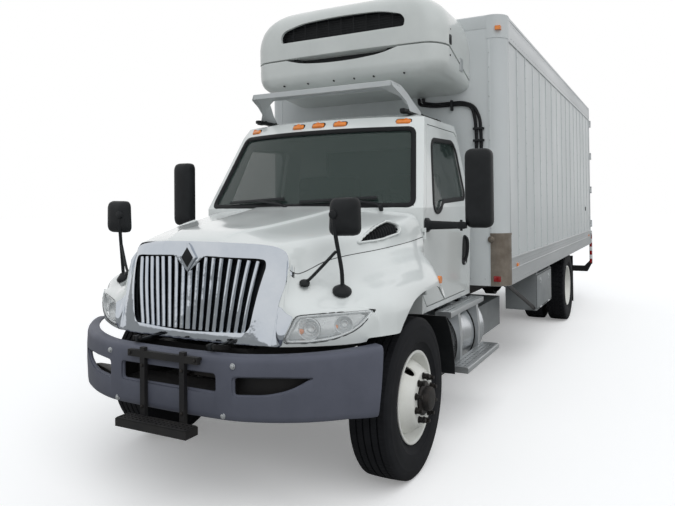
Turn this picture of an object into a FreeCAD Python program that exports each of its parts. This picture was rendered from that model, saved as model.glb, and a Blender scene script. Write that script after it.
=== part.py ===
# A two-axle refrigerated box truck: bonneted cab on a ladder frame, insulated body with a nose-mounted cooling unit.
# Row frame: +Z up, the truck faces -Y, +X is the driver's (left) side, origin on the ground under the middle of the truck.
# Places along the truck are measured from the front axle, and FRONT_AXLE carries them into the row frame.
import FreeCAD, Part
import math
import os
import Sketcher
from FreeCAD import Placement, Rotation, Vector

doc = FreeCAD.newDocument("truck")
sheet = doc.addObject("Spreadsheet::Sheet", "Sizes")
row_count = 0


# A size is a number together with the spreadsheet expression that gives it, so that arithmetic on sizes stays bound.
class Size:
    def __init__(self, value, text=None):
        self.value = float(value)
        self.text = text or repr(round(self.value, 6))

    def __float__(self):
        return self.value

    def join(self, other, sign, value):
        other = as_size(other)
        return Size(value(self.value, other.value), "(" + self.text + " " + sign + " " + other.text + ")")

    def __add__(self, other):
        return self.join(other, "+", lambda a, b: a + b)

    def __radd__(self, other):
        return as_size(other) + self

    def __sub__(self, other):
        return self.join(other, "-", lambda a, b: a - b)

    def __rsub__(self, other):
        return as_size(other) - self

    def __mul__(self, other):
        return self.join(other, "*", lambda a, b: a * b)

    def __rmul__(self, other):
        return as_size(other) * self

    def __truediv__(self, other):
        return self.join(other, "/", lambda a, b: a / b)

    def __neg__(self):
        return Size(0) - self


def as_size(value):
    return value if isinstance(value, Size) else Size(value)


# Writes one driving dimension into the spreadsheet and returns it as a size.
def size(alias, value, note=""):
    global row_count
    row_count += 1
    sheet.set("A%d" % row_count, alias)
    sheet.set("B%d" % row_count, str(value))
    sheet.set("C%d" % row_count, note)
    sheet.setAlias("B%d" % row_count, alias)
    return Size(value, "Sizes." + alias)


def bind(thing, prop, value):
    value = as_size(value)
    if "Sizes." in value.text:
        thing.setExpression(prop, value.text)
    else:
        target = prop.split(".")
        holder = thing
        for name in target[:-1]:
            holder = getattr(holder, name)
        if len(target) == 1:
            setattr(thing, prop, value.value)
        else:
            thing.setExpression(prop, value.text)


def place(thing, x, y, z):
    for axis, value in (("x", x), ("y", y), ("z", z)):
        bind(thing, "Placement.Base." + axis, value)
    return thing


AXIS_TURN = {"X": Rotation(Vector(0, 1, 0), 90), "Y": Rotation(Vector(1, 0, 0), -90), "Z": Rotation()}


# A block between two corners, each given as three sizes.
def block(name, low, high):
    made = doc.addObject("Part::Box", name)
    for prop, a, b in zip(("Length", "Width", "Height"), low, high):
        bind(made, prop, as_size(b) - a)
    return place(made, *low)


# A round bar from a start point along one axis.
def bar(name, start, axis, length, radius):
    made = doc.addObject("Part::Cylinder", name)
    made.Placement = Placement(Vector(), AXIS_TURN[axis])
    bind(made, "Radius", radius)
    bind(made, "Height", length)
    return place(made, *start)


def tube(name, start, axis, length, radius, bore):
    outer = bar(name + "_outer", start, axis, length, radius)
    inner = bar(name + "_bore", start, axis, length, bore)
    return cut(name, outer, inner)


def ball(name, centre, radius):
    made = doc.addObject("Part::Sphere", name)
    bind(made, "Radius", radius)
    return place(made, *centre)


# A round bar between any two points, for members that lie askew.
def strut(name, start, end, radius):
    first, last = (Vector(*[float(c) for c in p]) for p in (start, end))
    made = doc.addObject("Part::Feature", name)
    made.Shape = Part.makeCylinder(float(radius), (last - first).Length, first, last - first)
    return made


def fuse(name, *parts):
    made = doc.addObject("Part::MultiFuse", name)
    made.Shapes = list(parts)
    return made


def cut(name, base, *tools):
    made = doc.addObject("Part::Cut", name)
    made.Base = base
    made.Tool = tools[0] if len(tools) == 1 else fuse(name + "_tools", *tools)
    return made


def common(name, *parts):
    made = doc.addObject("Part::MultiCommon", name)
    made.Shapes = list(parts)
    return made


# Several solids that don't touch, kept together as one piece of the truck.
def group(name, *parts):
    made = doc.addObject("Part::Compound", name)
    made.Links = list(parts)
    return made


def mirrored(name, source):
    made = doc.addObject("Part::Mirroring", name)
    made.Source = source
    made.Normal = Vector(1, 0, 0)
    made.Base = Vector(0, 0, 0)
    return made


def feature(name, shape):
    made = doc.addObject("Part::Feature", name)
    made.Shape = shape
    return made


def origin_part(body, role):
    return [f for f in body.Origin.OriginFeatures if f.Role == role][0]


# The centre of the arc from a to b with the given radius, which is on the left of a-b when the radius is positive.
def arc_centre(a, b, radius):
    dx, dy = b[0] - a[0], b[1] - a[1]
    chord = math.hypot(dx, dy)
    rise = math.sqrt(max(radius * radius - chord * chord / 4, 0))
    side = 1 if radius > 0 else -1
    return (a[0] + b[0]) / 2 - side * dy / chord * rise, (a[1] + b[1]) / 2 + side * dx / chord * rise


# Draws one closed outline. A point is (x, y), or (x, y, radius) when the line that arrives there is an arc.
def draw_outline(sketch, points):
    first = sketch.GeometryCount
    count = len(points)
    ends = []
    for i in range(count):
        here, there = points[i], points[(i + 1) % count]
        a, b = ([float(c) for c in p[:2]] for p in (here, there))
        if len(there) > 2:
            radius = float(there[2])
            cx, cy = arc_centre(a, b, radius)
            circle = Part.Circle(Vector(cx, cy, 0), Vector(0, 0, 1), abs(radius))
            angles = [math.atan2(p[1] - cy, p[0] - cx) for p in (a, b)]
            if radius < 0:
                angles.reverse()
            if angles[1] < angles[0]:
                angles[1] += 2 * math.pi
            n = sketch.addGeometry(Part.ArcOfCircle(circle, angles[0], angles[1]), False)
            ends.append((n, 1, 2) if radius > 0 else (n, 2, 1))
            k = sketch.addConstraint(Sketcher.Constraint("Radius", n, abs(radius)))
            turn = as_size(there[2])
            if "Sizes." in turn.text:
                sketch.setExpression("Constraints[%d]" % k, turn.text if radius > 0 else "-" + turn.text)
        else:
            n = sketch.addGeometry(Part.LineSegment(Vector(*a, 0), Vector(*b, 0)), False)
            ends.append((n, 1, 2))
    for i in range(count):
        n, start, _ = ends[i]
        before = ends[i - 1]
        sketch.addConstraint(Sketcher.Constraint("Coincident", before[0], before[2], n, start))
        for kind, value in (("DistanceX", points[i][0]), ("DistanceY", points[i][1])):
            value = as_size(value)
            k = sketch.addConstraint(Sketcher.Constraint(kind, n, start, value.value))
            if "Sizes." in value.text:
                sketch.setExpression("Constraints[%d]" % k, value.text)
    return first


def draw_circle(sketch, x, y, radius):
    n = sketch.addGeometry(Part.Circle(Vector(float(x), float(y), 0), Vector(0, 0, 1), float(radius)), False)
    for kind, value in (("DistanceX", x), ("DistanceY", y)):
        k = sketch.addConstraint(Sketcher.Constraint(kind, n, 3, float(value)))
        if "Sizes." in as_size(value).text:
            sketch.setExpression("Constraints[%d]" % k, value.text)
    k = sketch.addConstraint(Sketcher.Constraint("Radius", n, float(radius)))
    if "Sizes." in as_size(radius).text:
        sketch.setExpression("Constraints[%d]" % k, radius.text)


# A sketch on one of the body's own origin planes, moved along that plane's axis to where it is wanted.
def sketch_on(body, plane, at, loops):
    sketch = body.newObject("Sketcher::SketchObject", body.Name + "_sketch")
    sketch.AttachmentSupport = [(origin_part(body, plane + "_Plane"), "")]
    sketch.MapMode = "FlatFace"
    bind(sketch, "AttachmentOffset.Base.z", -as_size(at) if plane == "XZ" else at)
    for loop in loops:
        if len(loop) == 1:
            draw_circle(sketch, *loop[0])
        else:
            draw_outline(sketch, loop)
    return sketch


# Adds a pad that fills from low to high along the plane's axis. XZ sketches face -Y, so they start at the high end.
def pad(body, plane, low, high, *loops):
    sketch = sketch_on(body, plane, high if plane == "XZ" else low, loops)
    made = body.newObject("PartDesign::Pad", body.Name + "_pad")
    made.Profile = sketch
    bind(made, "Length", as_size(high) - low)
    body.Tip = made
    return made


def pocket(body, plane, low, high, *loops):
    sketch = sketch_on(body, plane, low if plane == "XZ" else high, loops)
    made = body.newObject("PartDesign::Pocket", body.Name + "_pocket")
    made.Profile = sketch
    bind(made, "Length", as_size(high) - low)
    body.Tip = made
    return made


def new_body(name):
    return doc.addObject("PartDesign::Body", name)


# A body padded from outlines: the first is the rim, the others are holes.
def plate(name, plane, low, high, *loops):
    body = new_body(name)
    pad(body, plane, low, high, *loops)
    return body


# A body turned about the X axis from a closed outline of (x, radius) points.
def turned(name, *loops):
    body = new_body(name)
    sketch = sketch_on(body, "XZ", 0, loops)
    made = body.newObject("PartDesign::Revolution", name + "_turn")
    made.Profile = sketch
    made.ReferenceAxis = (sketch, ["H_Axis"])
    made.Angle = 360
    body.Tip = made
    return body


def around_x(body, source, count):
    made = body.newObject("PartDesign::PolarPattern", body.Name + "_ring")
    made.Originals = [source]
    made.Axis = (origin_part(body, "X_Axis"), [""])
    made.Angle = 360
    made.Occurrences = count
    body.Tip = made
    return made


def along(body, sources, axis, span, count):
    made = body.newObject("PartDesign::LinearPattern", body.Name + "_row")
    made.Originals = list(sources)
    made.Direction = (origin_part(body, axis + "_Axis"), [""])
    bind(made, "Length", span)
    made.Occurrences = count
    body.Tip = made
    return made


def rectangle(x0, y0, x1, y1):
    return [(x0, y0), (x1, y0), (x1, y1), (x0, y1)]


# Driving dimensions of the whole truck
wheelbase = size("wheelbase", 6280, "front axle to rear axle")
front_overhang = size("front_overhang", 1270, "front axle to the front of the bumper step")
rear_overhang = size("rear_overhang", 2490, "rear axle to the back of the rear bumper")
FRONT_AXLE = (front_overhang - wheelbase - rear_overhang) / 2
REAR_AXLE = FRONT_AXLE + wheelbase
axle_height = size("axle_height", 520, "hub centre above the ground, the tyre's radius")
seat_gap = size("seat_gap", 0.3, "gap where a moving piece lies on its seat")
door_gap = size("door_gap", 8, "gap round a panel that opens")


def from_front_axle(distance):
    return FRONT_AXLE + distance


Y = from_front_axle
nodes = []


def node(name, made):
    made.Label = name
    nodes.append(made)
    return made


# Wheels and tyres. The outline runs across the wheel (x, outwards) and out from its centre.
rim_half = size("rim_half", 118, "half the width over the rim flanges")
rim_radius = size("rim_radius", 298.5, "radius of the rim flange")
rim_wall = size("rim_wall", 9)
tyre_half = size("tyre_half", 139, "half the section width of the tyre")
tread_half = size("tread_half", 112)
bead_gap = size("bead_gap", 0.3)
disc_offset = size("disc_offset", 168, "rim centre to hub face")
disc_wall = size("disc_wall", 11)
spindle_radius = size("spindle_radius", 40)
bearing_gap = size("bearing_gap", 0.05, "running clearance of shafts in bores")
stud_circle = size("stud_circle", 142.9, "radius of the wheel stud circle")
nut_radius = size("nut_radius", 19)
hub_radius = size("hub_radius", 108)
flange_radius = size("flange_radius", 166, "hub flange behind the wheel disc")
drum_radius = size("drum_radius", 206, "brake drum")
drum_wall = size("drum_wall", 12)


def rim_outline():
    seat = rim_radius - 12.5
    well = rim_radius - 48.5
    inside = rim_radius - rim_wall
    return [
        (rim_half, inside), (rim_half, rim_radius), (rim_half - 12, rim_radius), (rim_half - 12, seat),
        (rim_half - 56, seat - 10), (rim_half - 83, well), (-(rim_half - 83), well), (-(rim_half - 56), seat - 10),
        (-(rim_half - 12), seat), (-(rim_half - 12), rim_radius), (-rim_half, rim_radius), (-rim_half, inside),
        (-(rim_half - 3), seat - rim_wall), (-(rim_half - 52), seat - rim_wall - 10),
        (-(rim_half - 79), well - rim_wall), (rim_half - 79, well - rim_wall),
        (rim_half - 52, seat - rim_wall - 10), (rim_half - 3, seat - rim_wall),
    ]


# The disc of a front wheel stands out to the hub face; a rear outer wheel has the same disc turned round.
def disc_outline(side):
    well = rim_radius - 48.5
    face = disc_offset
    run = [
        (18, well - 4), (34, well - 4), (100, well - 34), (face - 16, well - 58), (face, well - 80),
        (face, hub_radius + 2), (face - disc_wall, hub_radius + 2), (face - disc_wall, well - 82),
        (face - 24, well - 66), (94, well - 44), (18, well - 20),
    ]
    return [(as_size(x) * side, r) for x, r in run]


def wheel(name, side, drum_low, drum_high):
    body = turned(name + "_rim", rim_outline())
    disc = turned(name + "_disc", disc_outline(side))
    holes = pocket(disc, "XY", 0, rim_radius, [(66 * side, 0, 27)])
    around_x(disc, holes, 2)
    return fuse(name, body, disc)


def tyre(name):
    tread = axle_height
    bead = rim_radius - 12.5 + bead_gap
    shoulder = tread - 16
    body = turned(
        name,
        [
            (-tread_half, tread, -18), (tread_half, tread), (tread_half + 16, shoulder, -18),
            (tyre_half, tread - 118, -150), (rim_half - 12 - bead_gap, bead + 13, -150),
            (rim_half - 12 - bead_gap, bead), (rim_half - 36, bead - 5), (rim_half - 34, bead + 22),
            (tyre_half - 24, tread - 118, 150), (tread_half, tread - 36, 110), (-tread_half, tread - 36),
            (-(tyre_half - 24), tread - 118, 110), (-(rim_half - 34), bead + 22, 150), (-(rim_half - 36), bead - 5),
            (-(rim_half - 12 - bead_gap), bead), (-(rim_half - 12 - bead_gap), bead + 13),
            (-tyre_half, tread - 118, -150), (-(tread_half + 16), shoulder, -150),
        ],
    )
    return body


front_wheel_x = size("front_wheel_x", 985, "centre line to the middle of a front tyre")
rear_face_x = size("rear_face_x", 895, "centre line to the mounting face of the twin wheels")
rear_outer_x = rear_face_x + disc_offset
rear_inner_x = rear_face_x - disc_offset
kingpin_x = size("kingpin_x", 820)
nut_length = size("nut_length", 46)


# Studs and nuts stand on the mounting face round the hub.
def nuts(name, low, high):
    body = new_body(name)
    first = pad(body, "YZ", low, high, [(0, stud_circle, nut_radius)])
    around_x(body, first, 10)
    return body


left_tyre = tyre("left_tyre_form")
front_tyre_left = node("front_tyre_left", place(left_tyre, front_wheel_x, Y(0), axle_height))
front_tyre_right = node("front_tyre_right", mirrored("front_tyre_right", front_tyre_left))

hub_inner = size("hub_inner", -100, "inner end of a front hub and drum, from the middle of the tyre")
front_disc = wheel("front_disc", 1, 0, 0)
front_hub = turned(
    "front_hub",
    [
        (hub_inner, spindle_radius + bearing_gap), (hub_inner, 78), (18, 78), (18, drum_radius - drum_wall),
        (hub_inner, drum_radius - drum_wall), (hub_inner, drum_radius), (30, drum_radius), (30, hub_radius),
        (disc_offset - disc_wall - 16, hub_radius), (disc_offset - disc_wall - 16, flange_radius),
        (disc_offset - disc_wall, flange_radius), (disc_offset - disc_wall, hub_radius), (disc_offset + 14, hub_radius), (disc_offset + 30, 74), (disc_offset + 62, 70), (disc_offset + 66, 0),
        (disc_offset + 12, 0), (disc_offset + 12, spindle_radius + bearing_gap),
    ],
)
front_nuts = nuts("front_nuts", disc_offset - disc_wall, disc_offset + nut_length)
front_wheel_form = fuse("front_wheel_form", front_disc, front_hub, front_nuts)
front_rim_left = node("front_rim_left", place(front_wheel_form, front_wheel_x, Y(0), axle_height))
front_rim_right = node("front_rim_right", mirrored("front_rim_right", front_rim_left))

outer_tyre = place(tyre("rear_outer_tyre"), rear_outer_x, REAR_AXLE, axle_height)
inner_tyre = place(tyre("rear_inner_tyre"), rear_inner_x, REAR_AXLE, axle_height)
rear_tyres_left = node("rear_tyres_left", group("rear_tyres_left", outer_tyre, inner_tyre))
rear_tyres_right = node("rear_tyres_right", mirrored("rear_tyres_right", rear_tyres_left))

rear_hub_inner = size("rear_hub_inner", 650, "centre line to the inner end of a rear hub")
rear_drum_inner = rear_hub_inner - 14
outer_disc = place(wheel("outer_disc", -1, 0, 0), rear_outer_x, REAR_AXLE, axle_height)
inner_disc = place(wheel("inner_disc", 1, 0, 0), rear_inner_x, REAR_AXLE, axle_height)
rear_hub = turned(
    "rear_hub",
    [
        (rear_hub_inner, spindle_radius + bearing_gap), (rear_hub_inner, 78), (rear_face_x - 127, 78),
        (rear_face_x - 127, drum_radius - drum_wall), (rear_drum_inner, drum_radius - drum_wall),
        (rear_drum_inner, drum_radius), (rear_face_x - 115, drum_radius), (rear_face_x - 115, hub_radius),
        (rear_face_x - disc_wall - 16, hub_radius), (rear_face_x - disc_wall - 16, flange_radius),
        (rear_face_x - disc_wall, flange_radius), (rear_face_x - disc_wall, hub_radius), (rear_face_x + 24, hub_radius), (rear_face_x + 34, 96), (rear_face_x + 120, 88),
        (rear_face_x + 150, 80), (rear_face_x + 150, 0), (rear_face_x + 132, 0),
        (rear_face_x + 132, spindle_radius + bearing_gap),
    ],
)
place(rear_hub, 0, REAR_AXLE, axle_height)
rear_nuts = place(nuts("rear_nuts", rear_face_x, rear_face_x + nut_length), 0, REAR_AXLE, axle_height)
rear_wheel_form = fuse("rear_wheel_form", outer_disc, inner_disc, rear_hub, rear_nuts)
rear_rims_left = node("rear_rims_left", rear_wheel_form)
rear_rims_right = node("rear_rims_right", mirrored("rear_rims_right", rear_rims_left))

# Ladder frame: two channel rails, shallow channel crossmembers, spring hangers and the hood's pivot brackets
rail_half = size("rail_half", 432, "centre line to the outside of a frame rail")
rail_top = size("rail_top", 945)
rail_depth = size("rail_depth", 254)
rail_flange = size("rail_flange", 80)
rail_wall = size("rail_wall", 9)
frame_front = size("frame_front", -930, "front end of the rails from the front axle")
frame_rear = size("frame_rear", 8450, "rear end of the rails from the front axle")
rail_bottom = rail_top - rail_depth
web_inside = rail_half - rail_wall
rail_outline = [
    (rail_half, rail_bottom), (rail_half, rail_top), (rail_half - rail_flange, rail_top),
    (rail_half - rail_flange, rail_top - rail_wall), (web_inside, rail_top - rail_wall),
    (web_inside, rail_bottom + rail_wall), (rail_half - rail_flange, rail_bottom + rail_wall),
    (rail_half - rail_flange, rail_bottom),
]
left_rail = plate("left_rail", "XZ", Y(frame_front), Y(frame_rear), rail_outline)
right_rail = mirrored("right_rail", left_rail)
member_depth = size("member_depth", 90)
member_width = size("member_width", 70)
members = []
for number, at in enumerate((frame_front + 60, 1350, 2600, 3900, 5250, 7000, frame_rear - 80)):
    y = Y(at)
    top = rail_top - rail_wall
    outline = [
        (y, top), (y, top - member_depth), (y + member_width, top - member_depth),
        (y + member_width, top - member_depth + 8), (y + 8, top - member_depth + 8), (y + 8, top - 8),
        (y + member_width, top - 8), (y + member_width, top),
    ]
    members.append(plate("crossmember_%d" % (number + 1), "YZ", -web_inside, web_inside, outline))

spring_x = size("spring_x", 430, "centre line to a front spring")
spring_width = size("spring_width", 76)
rear_spring_x = rail_half + 10 + spring_width / 2
spring_half = size("spring_half", 650, "axle to the eye of a front spring")
rear_spring_half = size("rear_spring_half", 700)
leaf_wall = size("leaf_wall", 16)
front_seat_z = size("front_seat_z", 470, "top of the front axle beam under the springs")
rear_tube_radius = size("rear_tube_radius", 65)
spring_rise = size("spring_rise", 130, "height of a spring's eyes over its middle")
eye_radius = size("eye_radius", 24)


def spring_radius(half):
    return (float(half) ** 2 + float(spring_rise) ** 2) / (2 * float(spring_rise))


# Two cheek plates beside a spring eye, under a cap that is fixed to the rail.
def hanger(name, x, y, eye_z, top):
    low = eye_z - eye_radius
    plates = []
    for side, start in (("inner", x - spring_width / 2 - 10), ("outer", x + spring_width / 2)):
        outline = [(y - 30, low), (y + 30, low), (y + 62, top), (y - 62, top)]
        plates.append(plate(name + "_" + side, "YZ", start, start + 10, outline))
    cap = block(
        name + "_cap", (x - spring_width / 2 - 10, y - 62, top - 14), (x + spring_width / 2 + 10, y + 62, top)
    )
    return fuse(name, cap, *plates)


front_eye_z = front_seat_z + leaf_wall * 3 + spring_rise - eye_radius
rear_seat_z = axle_height + rear_tube_radius
rear_eye_z = rear_seat_z + 12 + leaf_wall * 4 + spring_rise - eye_radius
hangers = []
for number, (x, axle, half, eye, top) in enumerate(
    (
        (spring_x, Y(0), spring_half, front_eye_z, rail_bottom),
        (rear_spring_x, REAR_AXLE, rear_spring_half, rear_eye_z, rear_eye_z + 110),
    )
):
    for end, way in (("front", -1), ("rear", 1)):
        hangers.append(hanger("hanger_%d_%s" % (number + 1, end), x, axle + half * way, eye, top))
hangers += [mirrored(made.Name + "_right", made) for made in list(hangers)]

hood_pivot_y = size("hood_pivot_y", -1075, "hood pivot from the front axle")
hood_pivot_z = size("hood_pivot_z", 990)
pivot_radius = size("pivot_radius", 10)
bracket_x = size("bracket_x", 300, "centre line to a hood pivot bracket")
hood_low = size("hood_low", 985, "lower edge of the hood at the grille")
bracket_high = hood_low - 7
py, pz = Y(hood_pivot_y), hood_pivot_z
pivot_plate = plate(
    "pivot_plate", "YZ", bracket_x, bracket_x + 12,
    [
        (Y(frame_front) + 60, rail_top), (Y(frame_front) + 60, bracket_high), (py + 95, bracket_high),
        (py + pivot_radius + 2, pz + pivot_radius + 2), (py - pivot_radius - 2, pz + pivot_radius + 2),
        (py - pivot_radius - 2, pz - pivot_radius - 2), (Y(frame_front) - 20, rail_top),
    ],
)
pivot_foot = block(
    "pivot_foot", (bracket_x, Y(frame_front), rail_top), (rail_half, Y(frame_front) + 60, rail_top + 12)
)
pivot_pin = bar("pivot_pin", (bracket_x - 46, py, pz), "X", 50, pivot_radius)
pivot_bracket = fuse("pivot_bracket", pivot_plate, pivot_foot, pivot_pin)
frame = node(
    "frame",
    fuse(
        "frame", left_rail, right_rail, *members, *hangers, pivot_bracket, mirrored("pivot_bracket_right", pivot_bracket)
    ),
)


# A spring pack from its side: concentric leaves, the longest on top with an eye at each end.
def spring_pack(name, x, y, seat, half, count):
    bottom = spring_radius(half) + float(leaf_wall) * count
    low, high = x - spring_width / 2 + 3, x + spring_width / 2 - 3
    leaves = []
    for level in range(count):
        reach = half * (1 - 0.24 * (count - 1 - level))
        lower = bottom - float(leaf_wall) * level
        upper = lower - float(leaf_wall)
        drop_low = bottom - math.sqrt(lower ** 2 - float(reach) ** 2)
        drop_high = bottom - math.sqrt(upper ** 2 - float(reach) ** 2)
        outline = [
            (y - reach, seat + drop_high, -upper), (y - reach, seat + drop_low),
            (y + reach, seat + drop_low, lower), (y + reach, seat + drop_high),
        ]
        leaves.append(plate("%s_leaf_%d" % (name, level + 1), "YZ", low, high, outline))
    eye_z = seat + drop_low + leaf_wall / 2
    for way in (-1, 1):
        leaves.append(bar("%s_eye_%s" % (name, "front" if way < 0 else "rear"), (low, y + half * way, eye_z), "X",
                          high - low, eye_radius))
        leaves.append(bar("%s_pin_%s" % (name, "front" if way < 0 else "rear"), (low - 3, y + half * way, eye_z), "X",
                          high - low + 6, eye_radius / 2))
    return fuse(name, *leaves)


front_spring = spring_pack("front_spring", spring_x, Y(0), front_seat_z, spring_half, 3)
rear_spring = spring_pack("rear_spring", rear_spring_x, REAR_AXLE, rear_seat_z + 12, rear_spring_half, 4)
leaf_springs = node(
    "leaf_springs",
    group(
        "leaf_springs", front_spring, rear_spring,
        mirrored("front_spring_right", front_spring), mirrored("rear_spring_right", rear_spring),
    ),
)

# Front axle: a dropped forged beam with an eye for the kingpin at each end
eye_outer = size("eye_outer", 42, "radius of the axle's kingpin eye")
eye_half = size("eye_half", 50, "half the height of the kingpin eye")
kingpin_radius = size("kingpin_radius", 25)
beam_half = size("beam_half", 38, "half the width of the axle beam")
beam_outline = [
    (-kingpin_x, axle_height - 42), (-(kingpin_x - 90), axle_height - 45), (-(spring_x + 110), front_seat_z - 85),
    (spring_x + 110, front_seat_z - 85), (kingpin_x - 90, axle_height - 45), (kingpin_x, axle_height - 42),
    (kingpin_x, axle_height + 42), (kingpin_x - 110, axle_height + 40), (spring_x + 70, front_seat_z),
    (-(spring_x + 70), front_seat_z), (-(kingpin_x - 110), axle_height + 40), (-kingpin_x, axle_height + 42),
]
beam_web = [
    (-(spring_x + 90), front_seat_z - 68), (spring_x + 90, front_seat_z - 68),
    (spring_x + 60, front_seat_z - 17), (-(spring_x + 60), front_seat_z - 17),
]
beam = new_body("beam")
pad(beam, "XZ", Y(0) - beam_half, Y(0) + beam_half, beam_outline)
pocket(beam, "XZ", Y(0) - beam_half, Y(0) - 10, beam_web)
eyes = [
    bar("kingpin_eye_" + side, (x, Y(0), axle_height - eye_half), "Z", eye_half * 2, eye_outer)
    for side, x in (("left", kingpin_x), ("right", -kingpin_x))
]
bores = [
    bar("kingpin_bore_" + side, (x, Y(0), axle_height - eye_half - 5), "Z", eye_half * 2 + 10,
        kingpin_radius + bearing_gap)
    for side, x in (("left", kingpin_x), ("right", -kingpin_x))
]
front_axle = node("front_axle", cut("front_axle", fuse("beam_with_eyes", beam, *eyes), *bores))

# Steering knuckle: a fork over the eye with the kingpin in it, the spindle, backing plate and steering arm
fork_wall = size("fork_wall", 30)
fork_gap = size("fork_gap", 5)
flange_low = kingpin_x + eye_outer + 6
flange_high = flange_low + 12
spindle_end = front_wheel_x + disc_offset
arm_reach = size("arm_reach", 200, "kingpin to tie rod pin")
tie_rod_z = size("tie_rod_z", 400)
tie_pin_radius = size("tie_pin_radius", 14)
fork_plates = [
    block("fork_" + side, (kingpin_x - 40, Y(0) - 40, low), (flange_high, Y(0) + 40, low + fork_wall))
    for side, low in (
        ("top", axle_height + eye_half + fork_gap), ("bottom", axle_height - eye_half - fork_gap - fork_wall)
    )
]
fork_bottom = axle_height - eye_half - fork_gap - fork_wall
kingpin = bar("kingpin", (kingpin_x, Y(0), fork_bottom - 8), "Z", (axle_height - fork_bottom) * 2 + 16, kingpin_radius)
flange = bar("knuckle_flange", (flange_low, Y(0), axle_height), "X", flange_high - flange_low, 96)
backing = bar("backing_plate", (flange_low + 2, Y(0), axle_height), "X", 6, drum_radius - 4)
spindle = bar("spindle", (flange_low, Y(0), axle_height), "X", spindle_end - flange_low, spindle_radius)
arm = block(
    "steering_arm", (kingpin_x - 22, Y(0), fork_bottom), (kingpin_x + 22, Y(0) + arm_reach + 22, fork_bottom + 24)
)
tie_pin = bar(
    "tie_pin", (kingpin_x, Y(0) + arm_reach, tie_rod_z - 26), "Z", fork_bottom + 1 - tie_rod_z + 26, tie_pin_radius
)
knuckle_left = node(
    "knuckle_left", fuse("knuckle_left", kingpin, *fork_plates, flange, backing, spindle, arm, tie_pin)
)
knuckle_right = node("knuckle_right", mirrored("knuckle_right", knuckle_left))

tie_rod_radius = size("tie_rod_radius", 16)
tie_eyes = [
    bar("tie_eye_" + side, (x, Y(0) + arm_reach, tie_rod_z - 20), "Z", 36, 28)
    for side, x in (("left", kingpin_x), ("right", -kingpin_x))
]
tie_bores = [
    bar("tie_bore_" + side, (x, Y(0) + arm_reach, tie_rod_z - 25), "Z", 50, tie_pin_radius + bearing_gap)
    for side, x in (("left", kingpin_x), ("right", -kingpin_x))
]
tie_bar = bar("tie_bar", (-kingpin_x, Y(0) + arm_reach, tie_rod_z), "X", kingpin_x * 2, tie_rod_radius)
tie_rod = node("tie_rod", cut("tie_rod", fuse("tie_rod_blank", tie_bar, *tie_eyes), *tie_bores))

# Rear axle: a banjo housing with spindles, backing plates and spring seats
backing_x = rear_drum_inner - 14
rear_tube = bar("rear_tube", (-backing_x - 6, REAR_AXLE, axle_height), "X", (backing_x + 6) * 2, rear_tube_radius)
rear_spindle = bar(
    "rear_spindle", (-(rear_face_x + 118), REAR_AXLE, axle_height), "X", (rear_face_x + 118) * 2, spindle_radius
)
rear_backings = [
    bar("rear_backing_" + side, (x, REAR_AXLE, axle_height), "X", 8, drum_radius - 4)
    for side, x in (("left", backing_x), ("right", -backing_x - 8))
]
banjo_radius = size("banjo_radius", 195)
banjo = bar("banjo", (-75, REAR_AXLE, axle_height), "X", 150, banjo_radius)
banjo_cover = ball("banjo_cover", (0, REAR_AXLE, axle_height), banjo_radius - 12)
pinion = bar("pinion", (0, REAR_AXLE - 330, axle_height + 20), "Y", 250, 90)
seats_on_tube = [
    block("spring_seat_" + side, (x - 45, REAR_AXLE - 90, axle_height), (x + 45, REAR_AXLE + 90, rear_seat_z + 12))
    for side, x in (("left", rear_spring_x), ("right", -rear_spring_x))
]
rear_axle = node(
    "rear_axle",
    fuse("rear_axle", rear_tube, rear_spindle, *rear_backings, banjo, banjo_cover, pinion, *seats_on_tube),
)

# Engine as one plain block, gearbox and propeller shaft
engine_front = size("engine_front", -560)
engine_rear = size("engine_rear", 230)
engine_half = size("engine_half", 290)
engine_low = size("engine_low", 640)
engine_high = size("engine_high", 1380)
gearbox_z = size("gearbox_z", 740)
gearbox_end = size("gearbox_end", 950)
shaft_radius = size("shaft_radius", 45)
engine = block("engine", (-engine_half, Y(engine_front), engine_low), (engine_half, Y(engine_rear), engine_high))
gearbox = bar("gearbox", (0, Y(engine_rear), gearbox_z), "Y", gearbox_end - engine_rear, 185)
mounts = []
for number, (y, low) in enumerate(((Y(engine_front) + 90, gearbox_z + 20), (Y(gearbox_end) - 160, gearbox_z - 20))):
    mounts.append(block("engine_mount_%d" % (number + 1), (-web_inside, y, low), (web_inside, y + 80, low + 50)))
shaft = strut(
    "propeller_shaft", (0, Y(gearbox_end) - 5, gearbox_z), (0, REAR_AXLE - 334, axle_height + 20), shaft_radius
)
powertrain = node("powertrain", fuse("powertrain", engine, gearbox, shaft, *mounts))

radiator_half = size("radiator_half", 340)
radiator_y = size("radiator_y", -700)
radiator_core = block(
    "radiator_core", (-radiator_half, Y(radiator_y), rail_top - 185), (radiator_half, Y(radiator_y) + 80, 1380)
)
radiator_bracket = block(
    "radiator_bracket", (-web_inside, Y(radiator_y) + 10, rail_top - 160), (web_inside, Y(radiator_y) + 70, rail_top - 110)
)
radiator = node("radiator", fuse("radiator", radiator_core, radiator_bracket))

# Front bumper: a hollow moulding with swept ends and three openings
bumper_half = size("bumper_half", 1155, "half the width over the bumper ends")
bumper_low = size("bumper_low", 604)
bumper_high = size("bumper_high", 964)
bumper_front = size("bumper_front", -1140)
bumper_end = size("bumper_end", -625)
bumper_wall = size("bumper_wall", 12)


def bumper_plan(inset):
    front = Y(bumper_front) + inset
    side = bumper_half - inset
    back = Y(bumper_end) + (0 if float(inset) == 0 else 50)
    return [
        (side - 65, front + 415, 900), (side, back), (-side, back), (-(side - 65), front + 415),
        (-(side - 272), front + 208, 900), (-(side - 688), front + 27, 1400), (side - 688, front + 27, 4040),
        (side - 272, front + 208, 1400),
    ]


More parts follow.
